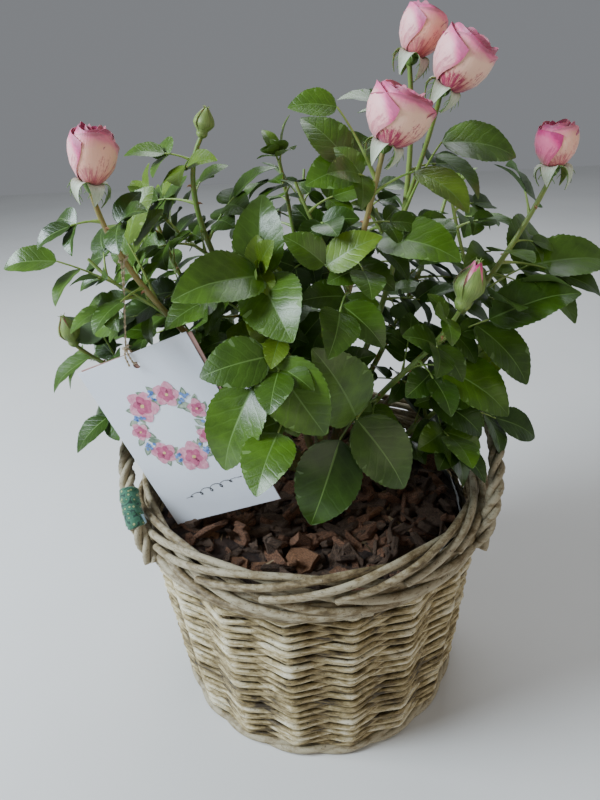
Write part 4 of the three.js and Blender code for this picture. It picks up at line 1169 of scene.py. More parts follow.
extra = []
IN_FLOWER = ("bloom_left", "bloom_middle", "bloom_pair", "bloom_right", "bud_front", "bud_top_left",
             "bud_low_left")
for name, axes in plans.items():
    for axis in axes:
        if not axis["stands"]:
            continue
        kind = "twig" if axis["twig"] else "flowering" if name in IN_FLOWER else "leafy"
        tries = EXTRA_TRIES[kind]
        for i in range(tries):
            share = 0.08 + 0.9 * (i + 0.35) / tries
            size = axis["size"] * EXTRA_SIZE * (1 - 0.35 * share) * (0.7 + 0.5 * roll())
            bearing = axis["phase"] + 2.2 + i * GOLDEN_ANGLE + 0.6 * (roll() - 0.5)
            leaf = ruled_leaf(axis["curve"], share, bearing, size, 1 if share > 0.5 else 2, roll() - 0.5)
            if not leaflet_free(name, leaf["leaflets"][0]):
                continue
            tip = leaf["leaflets"][0][1]
            if min((old["leaflets"][0][1] - tip).length for old in extra + grown) < LEAF_SPACING:
                continue
            sides = [each for each in leaf["leaflets"][1:] if leaflet_free(name, each)]
            extra.append({**leaf, "leaflets": [leaf["leaflets"][0], *sides], "finer": True})
    if name not in IN_FLOWER:
        curve = axes[0]["curve"]
        along, end = direction(curve, 1), curve(1)
        for turn in range(TUFT_LEAVES):
            way = (along * 1.4 + outwards(end) * 0.5 + on_ring(2.1 * turn, 0.7, 0)).normalized()
            size = TUFT_SIZE - 5 * turn
            leaf = leaf_parts(end - along * (1 + 4 * turn), end + way * (9 - turn),
                              end + way * (9 + size), 1, roll() - 0.5)
            if leaflet_free(name, leaf["leaflets"][0]):
                extra.append({**leaf, "finer": True, "young": True})
grown += extra
print(len(extra), "finer leaves;", sum(len(leaf["leaflets"]) for leaf in grown), "leaflets in all")

# %% [markdown]
# ## Stems
# Old canes are olive and reddish with a corky skin, young stems are smooth and bright green, two of
# them flushed with red, and the leaf stalks are the brightest of all. A little relief from the tree
# breaks up the canes' skin, and noise in the material gives the streaks.

# %% Stem finishes
def stem_finish(name, dark, light, roughness, marks):
    made, tree, surface = finish(name, roughness, Subsurface_Weight=0.05)
    broad = grain(tree, 38, (1, 1, 0.35), detail=4)
    colour = ramp(tree, broad, (0.34, dark), (0.66, light))
    flecks = maths(tree, "GREATER_THAN", grain(tree, 520, (1, 1, 0.4), detail=2), 0.66)
    share = times(tree, flecks, marks)
    base_colour(tree, surface, mixed(tree, share, colour, (0.2, 0.09, 0.04)))
    bump(tree, surface, grain(tree, 420, (1, 1, 0.3)), 0.35, 0.0006)
    return made


cane_skin = stem_finish("cane_skin", (0.07, 0.1, 0.022), (0.17, 0.14, 0.05), 0.55, 0.8)
stem_skin = stem_finish("stem_skin", (0.1, 0.19, 0.03), (0.22, 0.3, 0.07), 0.42, 0.25)
flush_skin = stem_finish("flushed_stem_skin", (0.17, 0.18, 0.04), (0.33, 0.25, 0.09), 0.45, 0.3)
stalk_skin = stem_finish("leaf_stalk_skin", (0.15, 0.27, 0.04), (0.3, 0.4, 0.1), 0.4, 0.1)

# %% Canes, stems, twigs and stalks
_, STEM_PART, FLUSH_PART, STALK_PART = range(4)
stem_sweep = sweep_tree("swept stems", cane_skin, stem_skin, flush_skin, stalk_skin, sides=8)
cane_sweep = sweep_tree("swept canes", cane_skin, sides=12, relief=0.0009)
FLUSHED = ("bloom_middle", "bloom_left")


def sample(curve, steps):
    return [curve(step / steps) * MM for step in range(steps + 1)]


def taper(first, last, steps):
    """Radii in metres, swollen a little at every joint of the stem."""
    swell = [1.08 if i % 4 == 0 else 1 for i in range(steps + 1)]
    return [(first + (last - first) * i / steps) * swell[i] * MM for i in range(steps + 1)]


canes, stems, stalks = Paths(), Paths(), Paths()
for name, (foot, stem, *_) in SHOOTS.items():
    canes.run(sample(cane_curve(foot, stem), 24), taper(*CANE_RADII, 24))
    for axis in plans[name]:
        if axis["stands"]:
            part = FLUSH_PART if name in FLUSHED and not axis["twig"] else STEM_PART
            radii = TWIG_RADII if axis["twig"] else STEM_RADII
            stems.run(sample(axis["curve"], 22), taper(*radii, 22), part=part)
twig_root = plans[FLOWER_TWIG["shoot"]][0]["curve"](FLOWER_TWIG["at"])
flower_twig = bezier(twig_root, FLOWER_TWIG["bend"], FLOWER_TWIG["tip"])
stems.run(sample(flower_twig, 14), taper(1.6, 1.4, 14), part=STEM_PART)
for leaf in grown:
    thick = 0.75 if "finer" in leaf else 0.9
    girth = taper(thick, 0.55, 8)
    girth[:3] = [1.5 * MM, 1.25 * MM, 0.95 * MM]
    stalks.run(sample(leaf["stalk"], 8), girth, part=STALK_PART)
piece("canes", canes.sweep("canes", cane_sweep), "cane", replaces=[f"cane_{name}" for name in SHOOTS])
ALL_SHOOTS = [f"shoot_{name}" for name in SHOOTS]
piece("stems", stems.sweep("stems", stem_sweep), "cane", replaces=ALL_SHOOTS)
piece("leaf_stalks", stalks.sweep("leaf_stalks", stem_sweep), "foliage", replaces=ALL_SHOOTS)

# %% [markdown]
# Hooked prickles, from red-brown to straw, sit on the canes and stems. The crown that all canes
# spring from is a lump of old scars: a ball whose points are pushed out and in by two sizes of noise.

# %% Prickles and crown
prickle_skin = mottled("prickle", 0.45, dict(scale=90, detail=3), (0.35, (0.2, 0.06, 0.03)),
                       (0.65, (0.34, 0.2, 0.07)))
prickles = Paths()
for name, (foot, stem, *_) in SHOOTS.items():
    limbs = [(cane_curve(foot, stem), CANE_RADII, 6), (plans[name][0]["curve"], STEM_RADII, 5)]
    for limb, (thick, thin), count in limbs:
        for i in range(count):
            share = 0.12 + 0.8 * (i + roll()) / count
            along = direction(limb, share)
            away = away_from(along, 2 * pi * roll())
            skin = limb(share) + away * (thick + (thin - thick) * share - 0.5)
            reach = 2.2 + 1.4 * roll()
            hook = (skin, skin + away * reach * 0.6, skin + away * reach - along * 0.9)
            prickles.run([point * MM for point in hook], [1.15 * MM, 0.6 * MM, 0.1 * MM])
prickle_sweep = sweep_tree("swept prickles", prickle_skin, sides=6)
piece("prickles", prickles.sweep("prickles", prickle_sweep), "cane")

lump = bmesh.new()
bmesh.ops.create_icosphere(lump, subdivisions=4, radius=CROWN_RADIUS)
for vertex in lump.verts:
    spot = vertex.co.copy()
    vertex.co *= 0.96 + 0.09 * noise.noise(spot * 0.16) + 0.045 * noise.noise(spot * 0.5)
    if vertex.co.z < 0:
        vertex.co.z *= 1.2
    vertex.co = (vertex.co + CROWN) * MM
old_wood = bpy.data.meshes.new("crown_wood")
lump.to_mesh(old_wood)
lump.free()
old_wood.shade_smooth()
piece("crown_wood", old_wood, "old_wood", crumbs("old_wood", (0.05, 0.04, 0.02), (0.2, 0.15, 0.08), 160),
      replaces=["crown"])

# %% [markdown]
# ## Leaves
# A rose leaflet is an egg-shaped blade with a fine saw edge, a pale midrib that lies in a groove,
# and a paler underside. One such blade has a few dozen faces: five strips of upper face, of which
# the middle one is the midrib, two strips below, and the teeth as extra points on its rim.

# %% The leaflet's blade
LEAF_STATIONS = 7
TEETH = 2
RIB_HALF_WIDTH = 0.0095
BLADE_THICKNESS = 0.012
# The greatest value of the outline's rule, by which it is divided to give a blade its width
OUTLINE_PEAK = 0.397


def blade_mesh(name, width, fold, arch, curl, twist):
    """A blade from (0, 0, 0) to (1, 0, 0) that looks up; part 0 is above, 1 the rib, 2 below."""
    def half_width(s):
        return width * 0.5 * s ** 0.55 * (1 - s) ** 0.82 / OUTLINE_PEAK

    def place(s, across, lift=0.0):
        turn = twist * (s - 0.3)
        rise = arch * 4 * s * (1 - s) + fold * abs(across) + lift - curl * max(0, s - 0.55) ** 2
        rise += 0.012 * sin(s * 21) * abs(across) / width
        return Vector((s, across * cos(turn), rise + across * sin(turn)))

    shares = [(k + 1) / (LEAF_STATIONS + 1) for k in range(LEAF_STATIONS)]
    points, faces, parts = [], [], []

    def point(*where):
        points.append(place(*where))
        return len(points) - 1

    root, tip = point(0, 0), point(1, 0)
    top, under, rims = [], [], {}
    for s in shares:
        w = half_width(s)
        top.append([point(s, -w * 0.5, 0), point(s, -RIB_HALF_WIDTH * (1.4 - s), -0.006),
                    point(s, RIB_HALF_WIDTH * (1.4 - s), -0.006), point(s, w * 0.5, 0)])
        under.append(point(s, 0, -BLADE_THICKNESS - 0.008))
    for hand in (-1, 1):
        stops = [0, *shares, 1]
        edge = [point(s, hand * half_width(s)) for s in shares]
        teeth = []
        for low, high in zip(stops, stops[1:]):
            row = []
            for tooth in range(TEETH):
                step = (high - low) / TEETH
                peak = low + (tooth + 0.78) * step
                row.append(point(peak, hand * (half_width(min(peak, 0.985)) + 0.014 * (1 - 0.4 * peak))))
                if tooth < TEETH - 1:
                    notch = low + (tooth + 1) * step
                    row.append(point(notch, hand * half_width(notch) * 0.985))
            teeth.append(row)
        rims[hand] = ([root, *edge, tip], teeth)

    def ring(hand, k):
        """Rim points from station k-1 to station k, where 0 is the root and the last is the tip."""
        stations, teeth = rims[hand]
        return [stations[k], *teeth[k], stations[k + 1]]

    last = LEAF_STATIONS
    for k in range(LEAF_STATIONS + 1):
        a = top[k - 1] if k else [root] * 4
        b = top[k] if k < last else [tip] * 4
        low = under[k - 1] if k else root
        high = under[k] if k < last else tip
        left, right = ring(-1, k), ring(1, k)
        faces += [[*left[::-1], a[0], b[0]], [a[0], a[1], b[1], b[0]], [a[1], a[2], b[2], b[1]],
                  [a[2], a[3], b[3], b[2]], [a[3], *right, b[3]], [*left, high, low],
                  [low, high, *right[::-1]]]
        parts += [0, 0, 1, 0, 0, 2, 2]
    faces = [list(dict.fromkeys(face)) for face in faces]
    keep = [(face[::-1], part) for face, part in zip(faces, parts) if len(face) > 2]
    mesh = bpy.data.meshes.new(name)
    mesh.from_pydata([tuple(p) for p in points], [], [face for face, _ in keep])
    mesh.attributes.new("part", "FLOAT", "FACE").data.foreach_set("value", [float(p) for _, p in keep])
    layer = mesh.uv_layers.new(name="UVMap").data
    for loop in mesh.loops:
        where = mesh.vertices[loop.vertex_index].co
        layer[loop.index].uv = (where.x, 0.5 + where.y / width)
    mesh.shade_smooth()
    mesh.set_sharp_from_angle(angle=radians(70))
    return mesh


BLADES = [blade_mesh("blade_a", 0.70, 0.16, 0.07, 0.30, 0.10),
          blade_mesh("blade_b", 0.62, 0.22, 0.05, 0.55, -0.2),
          blade_mesh("blade_c", 0.76, 0.10, 0.08, 0.15, 0.25)]
print("faces of a blade:", len(BLADES[0].polygons))

# %% [markdown]
# The upper face is glossy with sunk side veins, the underside is pale and matt. The veins are a wave
# in the blade's own UV, so they run from the midrib to the edge on every leaf. The bush has older
# deep green leaves, mid green ones and young yellow-green ones. Each tint is a finish of its own
# that a whole leaf gets, so it stays where it is in any program.

# %% Leaf finishes
def leaf_finish(name, colour, roughness, coat):
    made, tree, surface = finish(name, roughness, Coat_Weight=coat, Coat_Roughness=0.2,
                                 Subsurface_Weight=0.06, Specular_IOR_Level=0.25)
    surface.inputs["Subsurface Radius"].default_value = (0.002, 0.004, 0.001)
    place = add(tree, "ShaderNodeTexCoord").outputs["UV"]
    parts = add(tree, "ShaderNodeSeparateXYZ", {0: place}).outputs
    side = maths(tree, "ABSOLUTE", minus(tree, parts[1], 0.5))
    waver = times(tree, grain(tree, 4, detail=2, coordinate="UV"), 0.12)
    slant = plus(tree, times(tree, side, -0.55), waver)
    wave = maths(tree, "SINE", times(tree, plus(tree, parts[0], slant), 44))
    vein = maths(tree, "POWER", maths(tree, "MULTIPLY_ADD", wave, 0.5, 0.5), 7)
    net = add(tree, "ShaderNodeTexVoronoi", {"Vector": place, "Scale": 26.0}, feature="DISTANCE_TO_EDGE")
    mesh_line = minus(tree, 1.0, add(tree, "ShaderNodeClamp", {
        0: times(tree, net.outputs["Distance"], 9.0)}))
    lines = maths(tree, "MAXIMUM", vein, times(tree, mesh_line, 0.45))
    mottle = grain(tree, 80, detail=5)
    shaded, lit = ([share * c for c in colour] for share in (0.6, 1.2))
    body = ramp(tree, mottle, (0.3, shaded), (0.7, lit))
    pale = [1.6 * c + 0.015 for c in colour]
    base_colour(tree, surface, mixed(tree, times(tree, lines, 0.15), body, pale))
    relief = minus(tree, times(tree, mottle, 0.5), lines)
    bump(tree, surface, relief, 0.2, 0.0007)
    return made


# The upper face's colour, roughness and coat
TINTS = {
    "deep": ((0.03, 0.07, 0.006), 0.3, 0.3),
    "mid": ((0.043, 0.095, 0.007), 0.36, 0.3),
    "bright": ((0.062, 0.132, 0.009), 0.36, 0.3),
    "young": ((0.105, 0.18, 0.014), 0.36, 0.15),
}
rib_paint = finish("leaf_rib", 0.45, Base_Color=rgba((0.1, 0.19, 0.035)))[0]
uppers, undersides = {}, {}
for name, (colour, roughness, coat) in TINTS.items():
    below = rgba(1.4 * c + 0.035 for c in colour)
    undersides[name] = finish(f"leaf_underside_{name}", 0.6, Base_Color=below)[0]
    uppers[name] = leaf_finish(f"leaf_{name}", colour, roughness, coat)

# %% [markdown]
# Each leaflet is one point that carries where the blade starts, how long it is, and how it is
# turned. On a real bush the leaves push each other aside as they open. So the largest blades are
# set first, and one that would pass through another is bent up or down at its root until it is
# clear. The few that have no room at all are left out. A tree sets a blade on every point. It runs
# once for each tint and each form of blade, and the results of a tint are joined.

# %% Set the blades
BLADE_REACH = 0.31
ROOT_SHARE = 0.12
TIP_ROOM = 1.1
LONGEST_PAIR = 90
BENDS = (0, 12, -12, 24, -24, 36, -36, 50, -50)
# Where each next tint begins on a throw of the dice, which a leaf's height over the middle raises
TINT_STARTS = (0.26, 0.7, 0.97)
MIDDLE_LEAF = 330


def turn_of(along, facing):
    """The turn that lays a blade along its way with its upper face towards the light."""
    along = along.normalized()
    side = facing.cross(along).normalized()
    return Matrix((along, side, along.cross(side))).transposed().to_quaternion()


def pierces(one, other):
    """Whether the midrib of one blade passes through the flat of the other."""
    root, tip, _ = one
    start, end, facing = other
    along = end - start
    length = along.length
    side = facing.cross(along).normalized()
    normal = along.cross(side).normalized()
    tip = root.lerp(tip, TIP_ROOM)
    low, high = (root - start).dot(normal), (tip - start).dot(normal)
    if low * high >= 0:
        return False
    share = low / (low - high)
    where = (root.lerp(tip, share) - start) / length
    on_blade = 0.06 < where.dot(along) / length < 0.96 and abs(where.dot(side)) < BLADE_REACH
    return on_blade and share > ROOT_SHARE


def bent(blade, degrees):
    root, tip, facing = blade
    turn = Matrix.Rotation(radians(degrees), 3, facing.cross(tip - root))
    return root, root + turn @ (tip - root), turn @ facing


roll = dice(77)
dealt = {(tint, form): [] for tint in TINTS for form in range(len(BLADES))}
waiting = []
for leaf in grown:
    height = leaf["leaflets"][0][1].z
    chance = roll() + 0.25 * (height - MIDDLE_LEAF) / 200
    tint = list(TINTS)[sum(chance >= start for start in TINT_STARTS)]
    tint = "young" if "young" in leaf else tint
    for root, tip in leaf["leaflets"]:
        form = int(roll() * len(BLADES))
        lean = Vector((roll() - 0.5, roll() - 0.5, 0)) * 0.35
        waiting.append((tint, form, (root, tip, leaf["facing"] + lean)))
waiting.sort(key=lambda each: (each[2][0] - each[2][1]).length, reverse=True)
settled, pushed = [], 0
for tint, form, blade in waiting:
    near = [other for other in settled if (other[0] - blade[0]).length < LONGEST_PAIR]
    for degrees in BENDS:
        trial = bent(blade, degrees)
        if not any(pierces(trial, other) or pierces(other, trial) for other in near):
            settled.append(trial)
            dealt[tint, form].append(trial)
            pushed += degrees != 0
            break
print("leaflets:", len(settled), "of", len(waiting), "bent aside:", pushed)
for tint in TINTS:
    name = f"leaves_{tint}"
    paints = (uppers[tint], rib_paint, undersides[tint])
    meshes = []
    for form, blade in enumerate(BLADES):
        spots = [(root * MM, turn_of(tip - root, facing), (tip - root).length * MM)
                 for root, tip, facing in dealt[tint, form]]
        meshes.append(scatter(f"{name}_{form}", blade, spots, *paints))
    piece(name, joined(name, meshes), "foliage", replaces=ALL_SHOOTS)

# %% [markdown]
# ## Flowers
# The roses are half open: an egg of wide petals that wrap round each other, pointed hips below, and
# five sepals turned back. The plan gives every flower its axis, its width and height and how far it
# has opened. The tones name its three outer petals, from the left round by the front.

# %% The flowers' plan
HIP_HEIGHT = 7
FLOWER_SINK = 1.2
FLOWERS = {
    "bloom_left": ((0.26, 0, 1), 28, 37, 0.25, ("pink", "peach", "peach")),
    "bloom_middle": ((0.42, -0.1, 1), 39, 36, 0.8, ("pink", "cream", "cream")),
    "bloom_pair": ((0.4, 0.05, 1), 29, 33, 0.6, ("pink", "peach", "cream")),
    "bloom_top": ((0.55, -0.15, 0.9), 36, 37, 0.8, ("pink", "cream", "cream")),
    "bloom_right": ((-0.02, 0, 1), 27, 32, 0.5, ("magenta", "peach", "pink")),
}
# A bud's last number says how far its sepals have parted: 0 is shut, 1 shows half of the petals
BUDS = {
    "bud_front": ((0.3, 0.05, 1), 19, 33, 0.8),
    "bud_top_left": ((0.3, 0, 1), 13, 19, 0.15),
    "bud_low_left": ((-0.15, -0.1, 1), 15, 26, 0.35),
}


def flower_frame(name, axis):
    """Where a flower's foot is, and the turn that stands its axis up."""
    tip = Vector(FLOWER_TWIG["tip"]) if name == "bloom_top" else plans[name][0]["curve"](1)
    axis = Vector(axis).normalized()
    return Matrix.Translation((tip - axis * FLOWER_SINK) * MM) @ (
        UP.rotation_difference(axis).to_matrix().to_4x4()) @ Matrix.Scale(MM, 4)


# %% [markdown]
# Petals and sepals are thin closed sheets on a grid. One collector takes the two faces of each sheet,
# closes its rim and remembers which paint each side has.

# %% A collector of thin sheets
class Sheets:
    def __init__(self):
        self.points, self.faces, self.places, self.paints = [], [], [], []

    def add(self, frame_of, outer, inner, paint_outer, paint_inner):
        rows, columns = len(outer), len(outer[0])
        first = len(self.points)
        for side in (outer, inner):
            self.points += [frame_of @ point for row in side for point in row]

        def corner(side, row, column):
            index = first + side * rows * columns + row * columns + column
            return index, (column / (columns - 1), row / (rows - 1))

        def face(paint, *corners):
            found = [corner(*each) for each in corners]
            self.faces.append([index for index, _ in found])
            self.places += [place for _, place in found]
            self.paints.append(paint)

        for r in range(rows - 1):
            for c in range(columns - 1):
                face(paint_outer, (0, r, c), (0, r, c + 1), (0, r + 1, c + 1), (0, r + 1, c))
                face(paint_inner, (1, r, c), (1, r + 1, c), (1, r + 1, c + 1), (1, r, c + 1))
        right, top = columns - 1, rows - 1
        rim = [(0, c) for c in range(right)] + [(r, right) for r in range(top)]
        rim += [(top, c) for c in range(right, 0, -1)] + [(r, 0) for r in range(top, 0, -1)]
        for here, there in zip(rim, rim[1:] + rim[:1]):
            face(paint_inner, (0, *there), (0, *here), (1, *here), (1, *there))

    def mesh(self, name):
        mesh = bpy.data.meshes.new(name)
        mesh.from_pydata([tuple(point) for point in self.points], [], self.faces)
        mesh.polygons.foreach_set("material_index", self.paints)
        layer = mesh.uv_layers.new(name="UVMap").data
        layer.foreach_set("uv", [value for place in self.places for value in place])
        mesh.shade_smooth()
        mesh.set_sharp_from_angle(angle=radians(60))
        print(f"{name}: {len(mesh.polygons)} faces")
        return mesh


# %% [markdown]
# Petals are cream, peach or pink, with deeper rims and crimson streaks rising from the base. The
# gradient runs along the petal in its own UV, so that each petal carries the same one, and the four
# paints are dealt out petal by petal.

# %% Petal finishes
def petal_finish(name, base, body, rim, streak):
    made, tree, surface = finish(name, 0.5, Sheen_Weight=0.25, Sheen_Roughness=0.4,
                                 Subsurface_Weight=0.22)
    surface.inputs["Subsurface Radius"].default_value = (0.004, 0.002, 0.0015)
    place = add(tree, "ShaderNodeSeparateXYZ", {0: add(tree, "ShaderNodeTexCoord").outputs["UV"]})
    across, along = place.outputs[0], place.outputs[1]
    edge = maths(tree, "ABSOLUTE", maths(tree, "MULTIPLY_ADD", across, 2.0, -1.0))
    far = maths(tree, "MULTIPLY_ADD", maths(tree, "POWER", edge, 4.0), 0.34, along)
    cloud = grain(tree, 3.2, detail=3, coordinate="UV")
    far = maths(tree, "MULTIPLY_ADD", minus(tree, cloud, 0.5), 0.5, far)
    lip = tuple(0.62 * c for c in rim)
    colour = ramp(tree, far, (0.1, base), (0.42, body), (0.72, body), (0.92, rim), (1.0, lip))
    streaks = grain(tree, 3.6, (4, 0.8, 1), detail=6, rough=0.78, coordinate="UV")
    low = minus(tree, 1.0, times(tree, along, 1.5))
    side = times(tree, maths(tree, "POWER", edge, 7.0), 0.16)
    reach = plus(tree, maths(tree, "MULTIPLY_ADD", low, 0.24, streaks), side)
    marks = times(tree, minus(tree, reach, 0.6), 9.0 * streak)
    marks = add(tree, "ShaderNodeClamp", {0: marks, "Max": min(1.0, streak)})
    base_colour(tree, surface, mixed(tree, marks, colour, (0.42, 0.02, 0.1)))
    bump(tree, surface, grain(tree, 9, (7, 0.6, 1), detail=3, coordinate="UV"), 0.25, 0.0009)
    return made


# Base, body, rim, and the strength of the streaks
PETAL_TONES = {
    "cream": ((0.86, 0.38, 0.32), (0.94, 0.58, 0.43), (0.72, 0.16, 0.28), 1.0),
    "peach": ((0.84, 0.36, 0.28), (0.96, 0.52, 0.38), (0.82, 0.24, 0.33), 0.7),
    "pink": ((0.9, 0.47, 0.43), (0.95, 0.49, 0.49), (0.77, 0.13, 0.31), 0.5),
    "magenta": ((0.92, 0.44, 0.42), (0.9, 0.2, 0.36), (0.76, 0.05, 0.25), 0.5),
}
PETAL_PAINTS = {name: petal_finish(f"petal_{name}", *tones) for name, tones in PETAL_TONES.items()}
PAINT_ORDER = list(PETAL_PAINTS)

# %% [markdown]
# A petal is wrapped round the flower's egg: its width is an angle, its length the height, and its top
# is rounded and rolled outwards a little. Four rings of three and one of two follow each other
# inwards, each turned against the last, with one edge lying over its neighbour and the other tucked
# under.

# %% Petals
PETAL_ROWS = 10
PETAL_COLUMNS = 11
PETAL_THICKNESS = 0.45
# Share of the egg's radius, half angle, share of its height, roll of the lip, number of petals
RINGS = [(1.0, 96, 0.93, 1.0, 3), (0.9, 88, 0.99, 0.75, 3), (0.74, 84, 1.0, 0.4, 3),
         (0.55, 86, 1.0, 0.2, 3), (0.33, 100, 0.99, 0.1, 2)]
roll = dice(311)


def egg_radius(rise, half, opened):
    mouth = 0.55 + 0.35 * opened
    return half * float(np.interp(rise, [0, 0.1, 0.3, 0.52, 0.7, 0.86, 1],
                                  [0.40, 0.62, 0.88, 0.99, 0.98, (mouth + 0.98) / 2, mouth]))


def petal(half, body, opened, ring, bearing, wobble):
    share, spread, top, lip, _ = ring
    grids = []
    for offset in (0, -PETAL_THICKNESS):
        grid = []
        for r in range(PETAL_ROWS):
            v = r / (PETAL_ROWS - 1)
            row = []
            for c in range(PETAL_COLUMNS):
                u = 2 * c / (PETAL_COLUMNS - 1) - 1
                reach = radians(spread) * (0.5 + 0.5 * sin(min(1, 1.25 * v) * pi / 2))
                shoulder = 1 - (0.2 + 0.16 * (1 - share)) * abs(u) ** (1.2 + 1.4 * share)
                shoulder += 0.035 * sin(4 * u + wobble) + 0.05 * (1 - share) * sin(wobble * 3)
                rise = min(v * top * shoulder, 1.08)
                tuck = 0.035 * half * u
                roll_out = max(0, (v - 0.76) / 0.24) ** 2 * lip * (0.6 + 0.4 * opened)
                radius = egg_radius(rise, half, opened) * share + tuck + offset * (1 - 0.5 * v)
                radius += roll_out * 0.11 * half + 0.025 * half * v * v * sin(5 * u + 2 * wobble)
                height = HIP_HEIGHT - 1 + (body + 1) * rise - roll_out * 0.05 * body
                row.append(on_ring(bearing + reach * u, max(radius, 0.5), height))
            grid.append(row)
        grids.append(grid)
    return grids


petals = Sheets()
for name, (axis, width, height, opened, tones) in FLOWERS.items():
    stand = flower_frame(name, axis)
    half, body = width / 2 * 0.97, height - HIP_HEIGHT
    for depth, ring in enumerate(RINGS):
        count = ring[-1]
        for i in range(count):
            bearing = radians(165 + 62 * depth) + 2 * pi * i / count + 0.2 * (roll() - 0.5)
            tone = tones[i % 3] if depth == 0 else ("peach", "pink", "cream")[(i + depth) % 3]
            paint = PAINT_ORDER.index(tone)
            outer, inner = petal(half, body, opened, ring, bearing, 6 * roll())
            petals.add(stand, outer, inner, paint, paint)
for name, (axis, width, height, parted) in BUDS.items():
    stand = flower_frame(name, axis)
    for i in range(3):
        ring = (0.86 if parted > 0.5 else 0.7, 110, 1.0, 0, 3)
        paint = PAINT_ORDER.index(("magenta", "peach", "pink")[i] if parted > 0.5 else "cream")
        body = height * (0.62 + 0.12 * parted)
        outer, inner = petal(width / 2, body, 0, ring, 2 * pi * i / 3 - 1.2, 1.0)
        lift = Matrix.Translation((0, 0, height * 0.2 - HIP_HEIGHT + 1))
        for grid in (outer, inner):
            for row in grid:
                for point in row:
                    close = 1 - 0.8 * max(0, (point.z - HIP_HEIGHT) / (height * 0.74) - 0.35) ** 1.3
                    point.x, point.y = point.x * close, point.y * close
        petals.add(stand @ lift, outer, inner, paint, paint)
piece("petals", petals.mesh("petals"), "petals", *PETAL_PAINTS.values(), replaces=ALL_SHOOTS)

# %% [markdown]
# A rose sepal is a narrow blade with a long point, dark green outside and silvery inside. On the open
# flowers it springs from the hip, lies against the petals for a moment and falls back. On the buds
# the five stand up along the egg and meet in a tuft of threads. Hairlike side lobes hang from them.

# %% Sepals and hips
SEPALS = 5
SEPAL_HALF_WIDTH = 5.3
BUD_LAP = 0.5
SEPAL_ROWS = 9


def sepal_finish(name, dark, light, roughness):
    veins = dict(scale=6, stretch=(6, 0.6, 1), coordinate="UV")
    return mottled(name, roughness, veins, (0.3, dark), (0.7, light), (0.3, 0.0006),
                   Subsurface_Weight=0.05)


sepal_green = sepal_finish("sepal_outside", (0.06, 0.14, 0.02), (0.16, 0.26, 0.05), 0.42)
sepal_silver = sepal_finish("sepal_inside", (0.34, 0.4, 0.25), (0.7, 0.72, 0.6), 0.7)
sepal_lime = sepal_finish("bud_sepal", (0.08, 0.135, 0.02), (0.27, 0.36, 0.09), 0.5)
sepal_lip = sepal_finish("sepal_edge", (0.42, 0.48, 0.22), (0.64, 0.68, 0.42), 0.55)
GREEN, SILVER, LIME, LIP = range(4)


def strip(path, widths, normals, cup, thickness=0.4):
    """A narrow blade along a path, cupped towards its normals."""
    grids = []
    for offset in (0, -thickness):
        grid = []
        for k, (middle, width, normal) in enumerate(zip(path, widths, normals)):
            before, after = path[max(k - 1, 0)], path[min(k + 1, len(path) - 1)]
            side = (after - before).cross(normal).normalized()
            grid.append([middle - side * width * s + normal * (offset - cup * width * (1 - s * s))
                         for s in (-1, -0.5, 0, 0.5, 1)])
        grids.append(grid)
    return grids


def sepal_width(share, full):
    return full * (sin(pi * (0.22 + 0.78 * share) ** 0.9) ** 0.9 * (1 - 0.35 * share) + 0.045)


def hang_thread(stand, line, thick, steps, part):
    """A thread along a line on a flower, which thins out to two fifths."""
    threads.run([stand @ line(k / steps) for k in range(steps + 1)],
                [thick * MM * (1 - 0.6 * k / steps) for k in range(steps + 1)], part=part)


sepals, threads = Sheets(), Paths()
for name, (axis, *_) in FLOWERS.items():
    stand = flower_frame(name, axis)
    for i in range(SEPALS):
        bearing = 2 * pi * i / SEPALS + 0.4 + 0.2 * (roll() - 0.5)
        stops = ((3.0, HIP_HEIGHT - 1), (11, HIP_HEIGHT + 1.5 + 2 * roll()), (13.5, HIP_HEIGHT - 5),
                 (5.5 + 4 * roll(), -5.0 - 3 * roll()))
        curve = bezier(*(on_ring(bearing, radius, z) for radius, z in stops))
        across = Vector((-sin(bearing), cos(bearing), 0))
        shares = [k / (SEPAL_ROWS - 1) for k in range(SEPAL_ROWS)]
        widths = [sepal_width(share, SEPAL_HALF_WIDTH) for share in shares]
        normals = [across.cross(direction(curve, share)).normalized() for share in shares]
        lower, upper = strip([curve(share) for share in shares], widths, normals, -0.25)
        sepals.add(stand, upper, lower, SILVER, GREEN)
        for at, hand in ((0.5, 1), (0.62, -1), (0.74, 1)):
            sidewards = across * hand
            start = curve(at) + sidewards * 0.9 * sepal_width(at, SEPAL_HALF_WIDTH)
            end = start + sidewards * (1.2 + 1.6 * roll()) + direction(curve, at) * 3.5
            hang_thread(stand, bezier(start, start.lerp(end, 0.5) + sidewards, end), 0.32, 4, 0)


# %% Buds
def bud_radius(rise, half):
    return half * float(np.interp(rise, [0, 0.06, 0.14, 0.24, 0.34, 0.46, 0.58, 0.68, 0.8, 0.9, 1],
                                  [0.2, 0.42, 0.55, 0.5, 0.78, 1, 0.96, 0.82, 0.56, 0.3, 0.1]))


